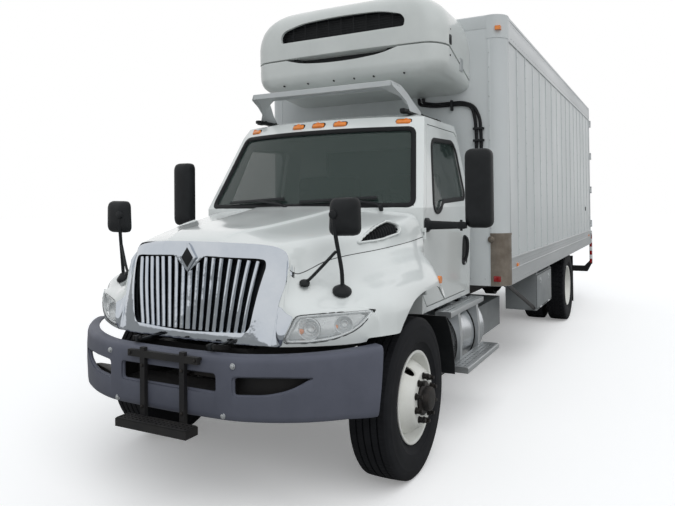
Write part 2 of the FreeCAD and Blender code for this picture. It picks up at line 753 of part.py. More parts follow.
bumper_outer = plate("bumper_outer", "XY", bumper_low, bumper_high, bumper_plan(0))
bumper_inner = plate("bumper_inner", "XY", bumper_low - 5, bumper_high - bumper_wall, bumper_plan(bumper_wall))
bumper_back = plate(
    "bumper_back", "XY", bumper_low - 5, bumper_high + 5,
    [
        (-600, Y(bumper_front) + 110), (600, Y(bumper_front) + 110), (780, Y(bumper_front) + 220),
        (780, Y(bumper_end) + 60), (-780, Y(bumper_end) + 60), (-780, Y(bumper_front) + 220),
    ],
)
mouth_half = size("mouth_half", 360, "half the width of the bumper's middle opening")
mouth_low = size("mouth_low", 745)
mouth_high = size("mouth_high", 862)
front_y, behind_y = Y(bumper_front) - 10, Y(bumper_front) + 80
mouth = plate("mouth", "XZ", front_y, behind_y, rectangle(-mouth_half, mouth_low, mouth_half, mouth_high))
side_mouth = plate(
    "side_mouth", "XZ", front_y, behind_y + 220,
    [
        (mouth_half + 100, mouth_low - 5), (mouth_half + 270, mouth_low), (mouth_half + 450, mouth_low + 48, 420),
        (mouth_half + 520, mouth_high - 8, 130), (mouth_half + 505, mouth_high - 2, 12), (mouth_half + 100, mouth_high - 8),
    ],
)
bumper_arm = block(
    "bumper_arm", (rail_half - 60, Y(bumper_front) + 32, rail_bottom + 30),
    (rail_half, Y(frame_front), rail_top - 50),
)
bumper_shell = cut(
    "bumper_shell", bumper_outer, bumper_inner, bumper_back, mouth, side_mouth, mirrored("side_mouth_right", side_mouth)
)
front_bumper = node("front_bumper", fuse("front_bumper", bumper_shell, bumper_arm, mirrored("bumper_arm_right", bumper_arm)))

# Step across the middle of the bumper: a tread on two bars that hook over the bumper's top
step_half = size("step_half", 265, "half the width of the bumper step")
step_front = -front_overhang
step_bar_x = size("step_bar_x", 150)
step_low = size("step_low", 520)
step_tread = block("step_tread", (-step_half, Y(step_front), step_low), (step_half, Y(step_front) + 100, step_low + 45))
step_bars = []
for side, x in (("left", step_bar_x - 18), ("right", -step_bar_x - 18)):
    step_bars.append(
        block("step_bar_" + side, (x, Y(bumper_front) - 32, step_low + 20), (x + 36, Y(bumper_front) - 6, bumper_high))
    )
step_rail = block(
    "step_rail", (-step_half, Y(bumper_front) - 32, bumper_high - 60), (step_half, Y(bumper_front) - 6, bumper_high - 20)
)
step_hooks = []
for side, x in (("left", step_half - 40), ("right", -step_half)):
    step_hooks.append(
        block("step_hook_" + side, (x, Y(bumper_front) - 32, bumper_high - 40), (x + 40, Y(bumper_front) + 6, bumper_high - 24))
    )
bumper_step = node("bumper_step", fuse("bumper_step", step_tread, *step_bars, step_rail, *step_hooks))

# Fuel tank on the left, with straps and brackets to the frame rail, and the battery box across from it
tank_radius = size("tank_radius", 305)
tank_x = rail_half + 30 + tank_radius
tank_z = size("tank_z", 660)
tank_front = size("tank_front", 720)
tank_rear = size("tank_rear", 1820)
strap_at = (size("front_strap", 1010), size("rear_strap", 1530))
strap_width = size("strap_width", 60)
tank = bar("tank", (tank_x, Y(tank_front), tank_z), "Y", tank_rear - tank_front, tank_radius)
tank_rims = [
    bar("tank_rim_%d" % (n + 1), (tank_x, Y(at), tank_z), "Y", 16, tank_radius + 5)
    for n, at in enumerate((tank_front + 12, tank_rear - 28))
]
tank_straps = [
    bar("tank_strap_%d" % (n + 1), (tank_x, Y(at) - strap_width / 2, tank_z), "Y", strap_width, tank_radius + 6)
    for n, at in enumerate(strap_at)
]
tank_brackets = [
    plate(
        "tank_bracket_%d" % (n + 1), "XZ", Y(at) - 35, Y(at) + 35,
        [
            (rail_half, rail_top - 30), (rail_half, rail_bottom - 60), (tank_x, tank_z - tank_radius - 12),
            (tank_x, tank_z), (rail_half + 60, tank_z + 150), (rail_half + 30, rail_top - 30),
        ],
    )
    for n, at in enumerate(strap_at)
]
fuel_tank = node("fuel_tank", fuse("fuel_tank", tank, *tank_rims, *tank_straps, *tank_brackets))

box_side = tank_x + tank_radius
case_high = size("case_high", 885, "top of the battery box")
battery_box = block(
    "battery_case", (-box_side, Y(strap_at[0]) - 60, tank_z - 240), (-rail_half - 40, Y(strap_at[1]) + 60, case_high)
)
battery_arms = [
    block("battery_arm_%d" % (n + 1), (-rail_half - 41, Y(at) - 35, rail_bottom + 20), (-rail_half, Y(at) + 35, rail_top - 30))
    for n, at in enumerate(strap_at)
]
battery = node("battery_box", fuse("battery_box", battery_box, *battery_arms))

# Cab steps: two treads a side on bracket plates that stand off the tank and the battery box
upper_step_z = size("upper_step_z", 905)
lower_step_z = size("lower_step_z", 500)
step_wall = size("step_wall", 40)
upper_step_x = size("upper_step_x", 965)
upper_step_edge = size("upper_step_edge", 1090)
lower_step_x = box_side + size("step_stand", 6, "lower step outside the tank and the battery box")
lower_step_edge = size("lower_step_edge", 1230)
tread_front = size("tread_front", 790)
tread_rear = size("tread_rear", 1740)
tank_edge = tank_x + tank_radius + 6
upper_tread = block(
    "upper_tread", (upper_step_x, Y(tread_front), upper_step_z), (upper_step_edge, Y(tread_rear), upper_step_z + step_wall)
)
lower_tread = block(
    "lower_tread", (lower_step_x, Y(tread_front) - 30, lower_step_z),
    (lower_step_edge, Y(tread_rear) - 20, lower_step_z + step_wall),
)
step_edge = [
    (upper_step_edge, upper_step_z), (tank_edge + 30, tank_z + 60), (tank_edge + 22, lower_step_z),
    (lower_step_edge - 20, lower_step_z), (lower_step_edge - 40, lower_step_z - 25),
]
tank_side = [(tank_x + tank_radius / 2, lower_step_z - 25), (upper_step_x, upper_step_z)]
case_side = [
    (box_side + seat_gap, lower_step_z - 25), (box_side + seat_gap, case_high + seat_gap),
    (upper_step_x, case_high + seat_gap), (upper_step_x, upper_step_z),
]
left_plates, right_plates = [], []
for n, at in enumerate(strap_at):
    left_plates.append(plate("left_step_plate_%d" % (n + 1), "XZ", Y(at) - 28, Y(at) + 28, step_edge + tank_side))
    right_plates.append(plate("right_step_plate_%d" % (n + 1), "XZ", Y(at) - 28, Y(at) + 28, step_edge + case_side))
tank_clear = bar(
    "tank_clear", (tank_x, Y(tank_front) - 50, tank_z), "Y", tank_rear - tank_front + 100, tank_radius + 6 + seat_gap
)
left_steps = fuse("left_steps", upper_tread, lower_tread, cut("left_brackets", fuse("left_plates", *left_plates), tank_clear))
right_steps = mirrored("right_steps", fuse("right_steps_form", upper_tread, lower_tread, *right_plates))
cab_steps = node("cab_steps", group("cab_steps", left_steps, right_steps))

# Cab: a shell lofted from plan outlines, each with a bowed front, with doors and windows cut out of it
cab_low = size("cab_low", 980)
cab_top = size("cab_top", 2530)
cab_rear = size("cab_rear", 1765, "back of the cab from the front axle")
cab_wall = size("cab_wall", 60)
belt_z = size("belt_z", 1760, "bottom of the windscreen")
header_z = size("header_z", 2410, "top of the windscreen")
cab_half = size("cab_half", 1000, "half the width of the cab at the belt")
header_half = size("header_half", 880)
belt_front = size("belt_front", 462, "corner of the cab front at the belt")
header_front = size("header_front", 828)


def cab_section(half, front, bow, rear, z, name):
    radius = (float(half) ** 2 + float(bow) ** 2) / (2 * float(bow))
    sketch = doc.addObject("Sketcher::SketchObject", name)
    bind(sketch, "Placement.Base.z", z)
    outline = [
        (-half, Y(front)), (half, Y(front), radius), (half, Y(rear) - 90), (half - 50, Y(rear), 120),
        (-half + 50, Y(rear)), (-half, Y(rear) - 90, 120),
    ]
    draw_outline(sketch, outline)
    return sketch


def cab_form(name, inset, low, high, ends=None):
    ends = inset if ends is None else ends
    levels = [
        (cab_half - 18, belt_front - 4, 150, low), (cab_half, belt_front, 175, belt_z),
        (header_half, header_front, 185, header_z), (header_half - 25, header_front + 70, 180, high - 35),
        (header_half - 110, header_front + 190, 160, high),
    ]
    sections = []
    for number, (half, front, bow, z) in enumerate(levels):
        sections.append(
            cab_section(half - inset, front + ends, bow, cab_rear - ends, z, "%s_level_%d" % (name, number + 1))
        )
    made = doc.addObject("Part::Loft", name)
    made.Sections = sections
    made.Solid = True
    made.Ruled = True
    return made


cab_outer = cab_form("cab_outer", 0, cab_low, cab_top)
cab_inner = cab_form("cab_inner", cab_wall, cab_low + cab_wall, cab_top - cab_wall)
cab_skin = cut("cab_skin", cab_outer, cab_inner)

# Outlines seen from the side (y, z): door, door window. The door's leading edge follows the windscreen pillar.
door_front = size("door_front", 470, "leading edge of the door from the front axle")
door_rear = size("door_rear", 1715)
door_low = size("door_low", 1025)
door_high = size("door_high", 2425)
door_wall = size("door_wall", 52, "thickness of a cab door")
door_swing = size("door_swing", 12, "more gap where the leaning top of a door swings towards the rear pillar")


def door_outline(inset, swing):
    return [
        (Y(door_front) + inset, belt_z - 100), (Y(door_front) + inset, door_low + 90), (Y(door_front) + 90 + inset, door_low + inset),
        (Y(door_rear) - 160 - inset, door_low + inset), (Y(door_rear) - 20 - inset, door_low + 320),
        (Y(door_rear) - inset, belt_z - 200), (Y(door_rear) - inset, belt_z), (Y(door_rear) - 40 - inset - swing, door_high - 120),
        (Y(door_rear) - 110 - inset - swing, door_high - inset, 120), (Y(header_front) + 90 + inset, door_high - inset),
        (Y(header_front) + 30 + inset, door_high - 60),
    ]


window_front = size("window_front", 690)
window_rear = size("window_rear", 1560)
window_low = size("window_low", 1722)
window_high = size("window_high", 2350)
window_outline = [
    (Y(window_front), window_low + 40), (Y(window_front) + 60, window_low, 60), (Y(window_front) + 150, window_low + 10),
    (Y(window_front) + 240, window_low + 85), (Y(window_rear) - 40, window_low + 110), (Y(window_rear), window_low + 160, 50),
    (Y(window_rear) - 10, window_high - 90), (Y(window_rear) - 70, window_high - 20, 70),
    (Y(window_front) + 290, window_high - 40), (Y(window_front) + 220, window_high - 90, 60),
]
door_x0, door_x1 = 640, cab_half + 30
door_blank = plate("door_blank", "YZ", door_x0, door_x1, door_outline(0, door_swing))
door_core = cab_form("door_core", door_wall, cab_low - 10, cab_top, -100)
hole_blank = plate("hole_blank", "YZ", door_x0 - 1, door_x1 + 1, door_outline(-door_gap, 0))
door_hole = cut("door_hole", hole_blank, cab_form("hole_core", cab_wall, cab_low - 10, cab_top, -100))
door_window = plate("door_window", "YZ", door_x0 - 2, door_x1 + 2, window_outline)

# Windscreen and rear window outlines seen from the front (x, z)
pillar_width = size("pillar_width", 70)
screen_outline = [
    (cab_half - pillar_width, belt_z + 15), (header_half - pillar_width, header_z - 15),
    (-(header_half - pillar_width), header_z - 15), (-(cab_half - pillar_width), belt_z + 15),
]
screen_hole = plate("screen_hole", "XZ", Y(belt_front) - 400, Y(header_front) + 90, screen_outline)
rear_window_outline = rectangle(-500, belt_z + 60, 500, header_z - 90)
rear_window_hole = plate("rear_window_hole", "XZ", Y(cab_rear) - 150, Y(cab_rear) + 50, rear_window_outline)

cab_with_screen = cut("cab_with_screen", cab_skin, screen_hole, rear_window_hole, door_hole, mirrored("door_hole_right", door_hole))
# Cab mounts between the floor and the frame rails
mount_pads = []
for n, at in enumerate((620, 1600)):
    mount_pads.append(
        block("cab_mount_%d" % (n + 1), (rail_half - 75, Y(at), rail_top), (rail_half - 5, Y(at) + 90, cab_low))
    )
mount_pads += [mirrored(made.Name + "_right", made) for made in list(mount_pads)]
glass_wall = size("glass_wall", 5)
glass_inset = size("glass_inset", 14, "glass behind the outer skin")
glass_outer = cab_form("glass_outer", glass_inset, cab_low + glass_inset, cab_top - glass_inset)
glass_inner = cab_form(
    "glass_inner", glass_inset + glass_wall, cab_low + glass_inset + glass_wall, cab_top - glass_inset - glass_wall
)
glass_skin = cut("glass_skin", glass_outer, glass_inner)
cab_windows = node(
    "cab_windows",
    group(
        "cab_windows", common("windscreen", glass_skin, screen_hole), common("rear_window", glass_skin, rear_window_hole)
    ),
)
door_panel = cut("door_panel", common("door_slice", cab_outer, door_blank), door_core, door_window)

# Door hinges stand just outside the skin at the leading edge, on lugs of the cab
hinge_x = cab_half + size("hinge_stand", 9, "hinge axis outside the belt line")
hinge_y = Y(door_front) - 4
hinge_radius = size("hinge_radius", 8)
cab_lugs, door_lugs = [], []
for number, z in enumerate((door_low + 140, belt_z - 190)):
    for end, low in (("below", z - 42), ("above", z + 12)):
        cab_lugs.append(bar("door_lug_%s_%d" % (end, number + 1), (hinge_x, hinge_y, low), "Z", 30, hinge_radius))
        cab_lugs.append(
            block("door_lug_web_%s_%d" % (end, number + 1), (cab_half - 40, Y(belt_front) - 8, low),
                  (hinge_x, Y(belt_front) - 1, low + 30))
        )
    door_lugs.append(
        bar("door_barrel_%d" % (number + 1), (hinge_x, hinge_y, z - 12 + seat_gap), "Z", 24 - seat_gap * 2, hinge_radius)
    )
    door_lugs.append(
        block("door_barrel_web_%d" % (number + 1), (cab_half - 40, hinge_y + 5, z - 11), (hinge_x, hinge_y + 16, z + 11))
    )
left_cab_lugs = fuse("left_cab_lugs", *cab_lugs)
cab_shell = node(
    "cab_shell", fuse("cab_shell", cab_with_screen, *mount_pads, left_cab_lugs, mirrored("right_cab_lugs", left_cab_lugs))
)
door_left = node("door_left", fuse("door_left", door_panel, *door_lugs))
door_right = node("door_right", mirrored("door_right", door_left))
door_glass_left = node("door_glass_left", common("door_glass", glass_skin, door_window))
door_glass_right = node("door_glass_right", mirrored("door_glass_right", door_glass_left))

# Hood: a lofted nose and two lofted fenders, hollowed out, with the front rounded off by a leaning plan outline
hood_wall = size("hood_wall", 12)
fender_half = size("fender_half", 1200, "half the width over the fenders")
hood_rear = belt_front - 14


def nose_section(name, y, foot, crease, crease_z, shoulder, shoulder_z, crown, inset):
    sketch = doc.addObject("Sketcher::SketchObject", name)
    sketch.Placement = Placement(Vector(), Rotation(Vector(1, 0, 0), 90))
    bind(sketch, "Placement.Base.y", y)
    half = float(shoulder) - float(inset)
    rise = float(crown) - float(shoulder_z)
    radius = (half ** 2 + rise ** 2) / (2 * rise)
    low = hood_low - (60 if inset else 0)
    draw_outline(
        sketch,
        [
            (-(foot - inset), low), (foot - inset, low), (crease - inset, crease_z), (shoulder - inset, shoulder_z - inset),
            (-(shoulder - inset), shoulder_z - inset, radius), (-(crease - inset), crease_z),
        ],
    )
    return sketch


def nose_form(name, inset):
    levels = [
        (Y(-1130) + inset, 590, 590, 1240, 570, 1500, 1540), (Y(-730), 645, 655, 1385, 600, 1530, 1622),
        (Y(-310), 840, 855, 1467, 800, 1592, 1668), (Y(120), 955, 962, 1510, 920, 1665, 1725),
        (Y(hood_rear), 985, cab_half - 4, 1545, cab_half - 30, 1722, 1775),
    ]
    made = doc.addObject("Part::Loft", name)
    made.Sections = [nose_section("%s_%d" % (name, n + 1), *level, inset) for n, level in enumerate(levels)]
    made.Solid = True
    made.Ruled = True
    return made


def fender_section(name, y, edge, side_z, top_x, top_z, inset):
    sketch = doc.addObject("Sketcher::SketchObject", name)
    sketch.Placement = Placement(Vector(), Rotation(Vector(1, 0, 0), 90))
    bind(sketch, "Placement.Base.y", y)
    low = hood_low - (60 if inset else 0)
    draw_outline(
        sketch,
        [
            (400, low), (edge - inset, low), (edge - inset, side_z - inset * 0.6), (edge - 40 - inset, side_z + 38 - inset, 60),
            (top_x - inset * 0.5, top_z - inset), (400, top_z - inset),
        ],
    )
    return sketch


def fender_form(name, inset):
    levels = [
        (Y(-1140) + inset, 800, 1060, 600, 1130), (Y(-880), 1000, 1110, 650, 1195), (Y(-740), 1090, 1160, 672, 1300),
        (Y(-600), 1150, 1180, 720, 1345), (Y(-400), 1185, 1215, 775, 1400), (Y(-100), fender_half, 1262, 880, 1450),
        (Y(240), fender_half - 15, 1250, 965, 1515), (Y(hood_rear) - inset, fender_half - 60, 1060, 990, 1440),
    ]
    made = doc.addObject("Part::Loft", name)
    made.Sections = [fender_section("%s_%d" % (name, n + 1), *level, inset) for n, level in enumerate(levels)]
    made.Solid = True
    made.Ruled = True
    return made


def front_plan(name, z, side_y, corner_x, corner_y, centre_y, inset):
    sketch = doc.addObject("Sketcher::SketchObject", name)
    bind(sketch, "Placement.Base.z", z)
    bow = float(corner_y) - float(centre_y)
    half = float(corner_x)
    radius = (half ** 2 + bow ** 2) / (2 * bow)
    draw_outline(
        sketch,
        [
            (-1300, Y(700)), (-1300, Y(side_y) + inset), (-(fender_half + 1) + inset, Y(side_y) + inset),
            (-corner_x, Y(corner_y) + inset, 1200), (corner_x, Y(corner_y) + inset, radius),
            (fender_half + 1 - inset, Y(side_y) + inset, 1200), (1300, Y(side_y) + inset), (1300, Y(700)),
        ],
    )
    return sketch


def front_limit(name, inset):
    made = doc.addObject("Part::Loft", name)
    made.Sections = [
        front_plan(name + "_low", hood_low - 80, -500, 600, -910, -977, inset),
        front_plan(name + "_middle", 1230, -490, 605, -845, -945, inset),
        front_plan(name + "_high", 1800, -380, 610, -665, -880, inset),
    ]
    made.Solid = True
    made.Ruled = True
    return made


def hood_form(name, inset):
    nose = nose_form(name + "_nose", inset)
    fender = fender_form(name + "_fender", inset)
    whole = fuse(name + "_whole", nose, fender, mirrored(name + "_fender_right", fender))
    return common(name, whole, front_limit(name + "_limit", inset))


hood_outer = hood_form("hood_outer", 0)
hood_inner = hood_form("hood_inner", hood_wall)
hood_deep = hood_form("hood_deep", 40)
cab_clear = cab_form("cab_clear", -door_gap, cab_low - 60, cab_top)
arch_front = size("arch_front", -445, "front of the wheel arch from the front axle")
arch_rear = size("arch_rear", 400)
arch_top = size("arch_top", 1236)
arch_outline = [
    (Y(-1250), hood_low - 200), (Y(hood_rear) + 60, hood_low - 200), (Y(hood_rear) + 60, hood_low - 30),
    (Y(arch_rear), hood_low + 45), (Y(0) + 90, arch_top, 430), (Y(arch_front) + 150, arch_top - 75, 700),
    (Y(arch_front), hood_low + 45), (Y(arch_front) - 120, hood_low + 14), (Y(-1250), hood_low - 4),
]
arch = plate("arch", "YZ", 640, 1320, arch_outline)
arch_right = mirrored("arch_right", arch)
grille_outline = [
    (-640, hood_low - 100), (640, hood_low - 100), (698, 1158), (608, 1200), (634, 1433), (600, 1515, 70),
    (-600, 1515), (-634, 1433, 70), (-608, 1200), (-698, 1158),
]
brow_plan = [(-615, Y(-1300)), (615, Y(-1300)), (615, Y(-765)), (330, Y(-872)), (-330, Y(-872)), (-615, Y(-765))]
grille_hole = fuse(
    "grille_hole", plate("grille_face", "XZ", Y(-1300), Y(-700), grille_outline),
    plate("grille_brow", "XY", 1480, 1700, brow_plan),
)
lamp_outline = [
    (648, 1000), (880, 1012, 900), (1010, 1065, 600), (1092, 1182, 300), (1040, 1185), (705, 1160, 1500),
]
lamp_hole = plate("lamp_hole", "XZ", Y(-1300), Y(-560), lamp_outline)
lamp_hole_right = mirrored("lamp_hole_right", lamp_hole)
vent_outline = [
    (Y(-270), 1538), (Y(-90), 1546), (Y(150), 1585), (Y(165), 1650), (Y(120), 1672, 60), (Y(-70), 1630), (Y(-200), 1580),
]
vent_hole = plate("vent_hole", "YZ", 760, 1050, vent_outline)
vent_hole_right = mirrored("vent_hole_right", vent_hole)
arm_blank = fuse(
    "arm_blank", block("arm_bar", (bracket_x - 30, py, pz - 20), (bracket_x - 8, Y(-788), pz - 8)),
    block("arm_upright", (bracket_x - 30, Y(-815), pz - 20), (bracket_x - 8, Y(-788), pz + 85)),
)
arm_eye = bar("arm_eye", (bracket_x - 30, py, pz), "X", 22, pivot_radius + 6)
hood_arm_bore = bar("hood_arm_bore", (bracket_x - 40, py, pz), "X", 40, pivot_radius + bearing_gap)
hood_shell = cut(
    "hood_shell", hood_outer, hood_inner, cab_clear, arch, arch_right, grille_hole, lamp_hole, lamp_hole_right,
    vent_hole, vent_hole_right,
)
# A baffle inside the nose stiffens the hood and carries the two pivot arms
hood_deep_zone = cut("lamp_clear", fuse("front_zones", grille_hole, lamp_hole, lamp_hole_right), hood_deep)
baffle_y = size("baffle_y", -800, "baffle inside the nose from the front axle")
baffle_blank = plate(
    "baffle_blank", "XZ", Y(baffle_y), Y(baffle_y) + 12, rectangle(-1150, hood_low, 1150, 1700),
    rectangle(-500, hood_low + 55, 500, 1450),
)
baffle = cut("baffle", common("baffle_slice", hood_outer, baffle_blank), hood_deep_zone, arch, arch_right)
# Grille: a bright surround that carries upright bars
opening_outline = [
    (-422, 1054), (0, 1038), (422, 1054), (452, 1092, 60), (512, 1440), (485, 1473, 40), (120, 1486), (0, 1387),
    (-120, 1486), (-485, 1473), (-512, 1440, 40), (-452, 1092), (-422, 1054, 60),
]
opening_outline = opening_outline[:-1]
opening = plate("opening", "XZ", Y(-1300), Y(-700), opening_outline)
surround_outline = [
    (-634, hood_low), (634, hood_low), (692, 1156), (602, 1198), (628, 1433), (594, 1509, 70), (-594, 1509),
    (-628, 1433, 70), (-602, 1198), (-692, 1156),
]
surround_brow = [(-609, Y(-1300)), (609, Y(-1300)), (609, Y(-771)), (327, Y(-878)), (-327, Y(-878)), (-609, Y(-771))]
surround_zone = fuse(
    "surround_zone", plate("surround_face", "XZ", Y(-1300), Y(-700), surround_outline),
    plate("surround_brow", "XY", 1480, 1700, surround_brow),
)
surround_core = cut("surround_core", surround_zone, opening)
surround = cut("surround", common("surround_slice", hood_outer, surround_core), hood_deep)
left_arm = cut("left_arm", fuse("hood_arm", arm_blank, arm_eye), hood_arm_bore, surround)
hood = node("hood", fuse("hood", hood_shell, baffle, left_arm, mirrored("right_arm", left_arm)))
bar_count = 17
bar_top_pitch = size("bar_top_pitch", 56, "spacing of the grille bars at their tops, as they fan out")
bar_low_pitch = size("bar_low_pitch", 48.5)
bar_width = size("bar_width", 16)
bars_body = new_body("grille_bars")
bar_loops = []
for n in range(bar_count):
    place_in_fan = n - 8
    half = bar_width / 2 if place_in_fan else bar_width * 0.8
    low_x, top_x = place_in_fan * bar_low_pitch, place_in_fan * bar_top_pitch
    bar_loops.append([(low_x - half, 1020), (low_x + half, 1020), (top_x + half, 1500), (top_x - half, 1500)])
pad(bars_body, "XZ", Y(-1300), Y(-700), *bar_loops)
grille_bars = cut("grille_bars_cut", common("grille_bars_slice", hood_inner, bars_body), hood_deep)
grille = node("grille", fuse("grille", surround, grille_bars))

lamp_zone = plate(
    "lamp_zone", "XZ", Y(-1300), Y(-560),
    [(x + 2 if x < 900 else x - 2, z + 2 if z < 1150 else z - 2, *turn) for x, z, *turn in lamp_outline]
)
headlamp = cut("headlamp", common("headlamp_slice", hood_outer, lamp_zone), hood_deep)
headlamps = node("headlamps", group("headlamps", headlamp, mirrored("headlamp_right", headlamp)))
vent_panel = cut("vent_panel", common("vent_slice", hood_inner, vent_hole), hood_deep)
hood_vents = node("hood_vents", group("hood_vents", vent_panel, mirrored("vent_panel_right", vent_panel)))

# Hood mirrors: a shell on a post with a stay, on each fender
mirror_post = strut("mirror_post", (885, Y(-618), 1290), (905, Y(-626), 1640), 16)
mirror_stay = strut("mirror_stay", (690, Y(-735), 1315), (893, Y(-622), 1500), 12)
mirror_foot = bar("mirror_foot", (885, Y(-618), 1270), "Z", 45, 60)
def soft_rectangle(low_x, low_z, high_x, high_z, radius):
    return [
        (low_x + radius, low_z, radius), (high_x - radius, low_z), (high_x, low_z + radius, radius),
        (high_x, high_z - radius), (high_x - radius, high_z, radius), (low_x + radius, high_z),
        (low_x, high_z - radius, radius), (low_x, low_z + radius),
    ]


mirror_shell = plate("mirror_shell", "XZ", Y(-680), Y(-600), soft_rectangle(805, 1600, 1012, 1830, 38))
hood_mirror = fuse("hood_mirror", mirror_post, mirror_stay, mirror_foot, mirror_shell)
hood_mirrors = node("hood_mirrors", group("hood_mirrors", cut("hood_mirror_cut", hood_mirror, hood_outer),
                                          mirrored("hood_mirror_right", cut("hood_mirror_other", hood_mirror, hood_outer))))

# Door mirrors: an upright shell on an arm from the door
door_arm = block("door_arm", (cab_half - 2, Y(500), 1600), (1300, Y(560), 1660))
mirror_head = plate("mirror_head", "XZ", Y(520), Y(620), soft_rectangle(1280, 1610, 1480, 2185, 55))
mirror_left = node("mirror_left", cut("mirror_left", fuse("mirror_form", door_arm, mirror_head), cab_outer))
mirror_right = node("mirror_right", mirrored("mirror_right", mirror_left))

# Splash guards: curved panels behind the front tyres, hung from the cab floor
guard_low = size("guard_low", 520)
guard_radius = size("guard_radius", 630)


def guard_point(z, radius):
    return Y(0) + 10 + math.sqrt(float(radius) ** 2 - (float(z) - float(axle_height)) ** 2), z


outer_r = guard_radius + 8
splash_outline = [
    guard_point(cab_low, guard_radius), (*guard_point(guard_low, guard_radius), -guard_radius),
    guard_point(guard_low, outer_r), (*guard_point(cab_low, outer_r), outer_r),
]
splash = plate("splash", "YZ", 860, 1165, splash_outline)
splash_guards = node("splash_guards", group("splash_guards", splash, mirrored("splash_right", splash)))

# Cab interior: seats, and a dashboard that carries the steering column and wheel
seat_y = size("seat_y", 1050)
seat_parts = []
for side, x0, x1 in (("driver", 250, 760), ("passenger", -760, -60)):
    cushion = block("cushion_" + side, (x0, Y(seat_y), cab_low + 360), (x1, Y(seat_y) + 480, cab_low + 500))
    pedestal = block("pedestal_" + side, (x0 + 60, Y(seat_y) + 60, cab_low + cab_wall), (x1 - 60, Y(seat_y) + 420, cab_low + 360))
    back = block("back_" + side, (x0, Y(seat_y) + 470, cab_low + 440), (x1, Y(seat_y) + 600, cab_low + 1100))
    seat_parts.append(fuse("seat_" + side, cushion, pedestal, back))
seats = node("seats", group("seats", *seat_parts))
dash_outline = [
    (Y(belt_front) - 160, belt_z - 60), (Y(belt_front) - 160, belt_z - 400), (Y(belt_front) + 330, belt_z - 330),
    (Y(belt_front) + 380, belt_z - 120), (Y(belt_front) + 300, belt_z - 30, 120),
]
dash_panel = plate("dash_panel", "YZ", -870, 870, dash_outline)
column = strut("column", (500, Y(belt_front) + 250, belt_z - 250), (500, Y(belt_front) + 520, belt_z - 60), 30)
rim = doc.addObject("Part::Torus", "steering_rim")
rim.Radius1 = 225
rim.Radius2 = 15
rim.Placement = Placement(Vector(500, float(Y(belt_front)) + 520, float(belt_z) - 60), Rotation(Vector(1, 0, 0), -55))
spoke = block("spoke", (500 - 225, Y(belt_front) + 505, belt_z - 72), (500 + 225, Y(belt_front) + 535, belt_z - 52))
dashboard = node("dashboard", fuse("dashboard", common("dash_fitted", dash_panel, cab_inner), column, rim, spoke))

# Insulated box: floor, side walls, front wall, roof, rear frame and two doors
box_half = size("box_half", 1285, "half the width of the box")
box_front = size("box_front", 1861, "front of the box from the front axle")
box_rear = size("box_rear", 8558)
box_low = size("box_low", 1026)
box_high = size("box_high", 3529)
rail_line = size("rail_line", 1270, "top of the box's bottom rail")
roof_line = size("roof_line", 3310, "lower edge of the box's top rail")
side_wall = size("side_wall", 75, "thickness of the box's side walls and doors")
front_wall = size("front_wall", 100)
roof_wall = size("roof_wall", 90)
floor_top = size("floor_top", 1240)
rear_depth = size("rear_depth", 80, "depth of the rear frame along the truck")
post_width = size("post_width", 95)
corner_radius = size("corner_radius", 130, "rounded corner posts at the front of the box")
wall_in = box_half - side_wall
rib_stand = size("rib_stand", 6, "how far rails and ribs stand out from the side skin")
skin_x = box_half - rib_stand
floor_slab = block("floor_slab", (-wall_in, Y(box_front) + front_wall, floor_top - 100), (wall_in, Y(box_rear) - rear_depth, floor_top))
bottom_rail = block("bottom_rail", (wall_in, Y(box_front) + corner_radius, box_low), (box_half, Y(box_rear) - rear_depth, rail_line))
sill = block("long_sill", (rail_half - rail_flange, Y(box_front) + front_wall, rail_top), (rail_half, Y(frame_rear), floor_top - 99))
bearer_pitch = size("bearer_pitch", 405, "spacing of the floor bearers and of the side ribs")
bearer_count = 16
bearers = new_body("bearers")
first_bearer = pad(
    bearers, "YZ", -wall_in, wall_in,
    rectangle(Y(box_front) + 120, floor_top - 190, Y(box_front) + 170, floor_top - 99),
)
along(bearers, [first_bearer], "Y", bearer_pitch * (bearer_count - 1), bearer_count)
box_floor = node(
    "box_floor",
    fuse("box_floor", floor_slab, bottom_rail, mirrored("bottom_rail_right", bottom_rail), sill, mirrored("sill_right", sill), bearers),
)

wall_slab = block("wall_slab", (wall_in, Y(box_front) + corner_radius, rail_line), (skin_x, Y(box_rear) - rear_depth, roof_line))
ribs = new_body("side_ribs")
rib_width = size("rib_width", 34)
first_rib = pad(
    ribs, "XY", rail_line, roof_line,
    rectangle(skin_x - 2, Y(box_front) + 505, box_half, Y(box_front) + 505 + rib_width),
)
along(ribs, [first_rib], "Y", bearer_pitch * 15, 16)
left_wall = fuse("left_wall", wall_slab, ribs)
box_side_walls = node("box_side_walls", group("box_side_walls", left_wall, mirrored("right_wall", left_wall)))

front_outline = [
    (-box_half, Y(box_front) + corner_radius), (-(box_half - corner_radius), Y(box_front), corner_radius),
    (box_half - corner_radius, Y(box_front)), (box_half, Y(box_front) + corner_radius, corner_radius),
    (wall_in, Y(box_front) + corner_radius), (wall_in, Y(box_front) + front_wall), (-wall_in, Y(box_front) + front_wall),
    (-wall_in, Y(box_front) + corner_radius),
]
box_front_wall = node("box_front_wall", plate("box_front_wall", "XY", box_low, box_high, front_outline))
roof_outline = [
    (-box_half, roof_line), (-wall_in, roof_line), (-wall_in, box_high - roof_wall), (wall_in, box_high - roof_wall),
    (wall_in, roof_line), (box_half, roof_line), (box_half, box_high), (-box_half, box_high),
]
roof_panel = plate("roof_panel", "XZ", Y(box_front) + corner_radius, Y(box_rear) - rear_depth, roof_outline)
roof_lip = block(
    "roof_lip", (-wall_in, Y(box_front) + front_wall, box_high - roof_wall), (wall_in, Y(box_front) + corner_radius + 1, box_high)
)
box_roof = node("box_roof", fuse("box_roof", roof_panel, roof_lip))

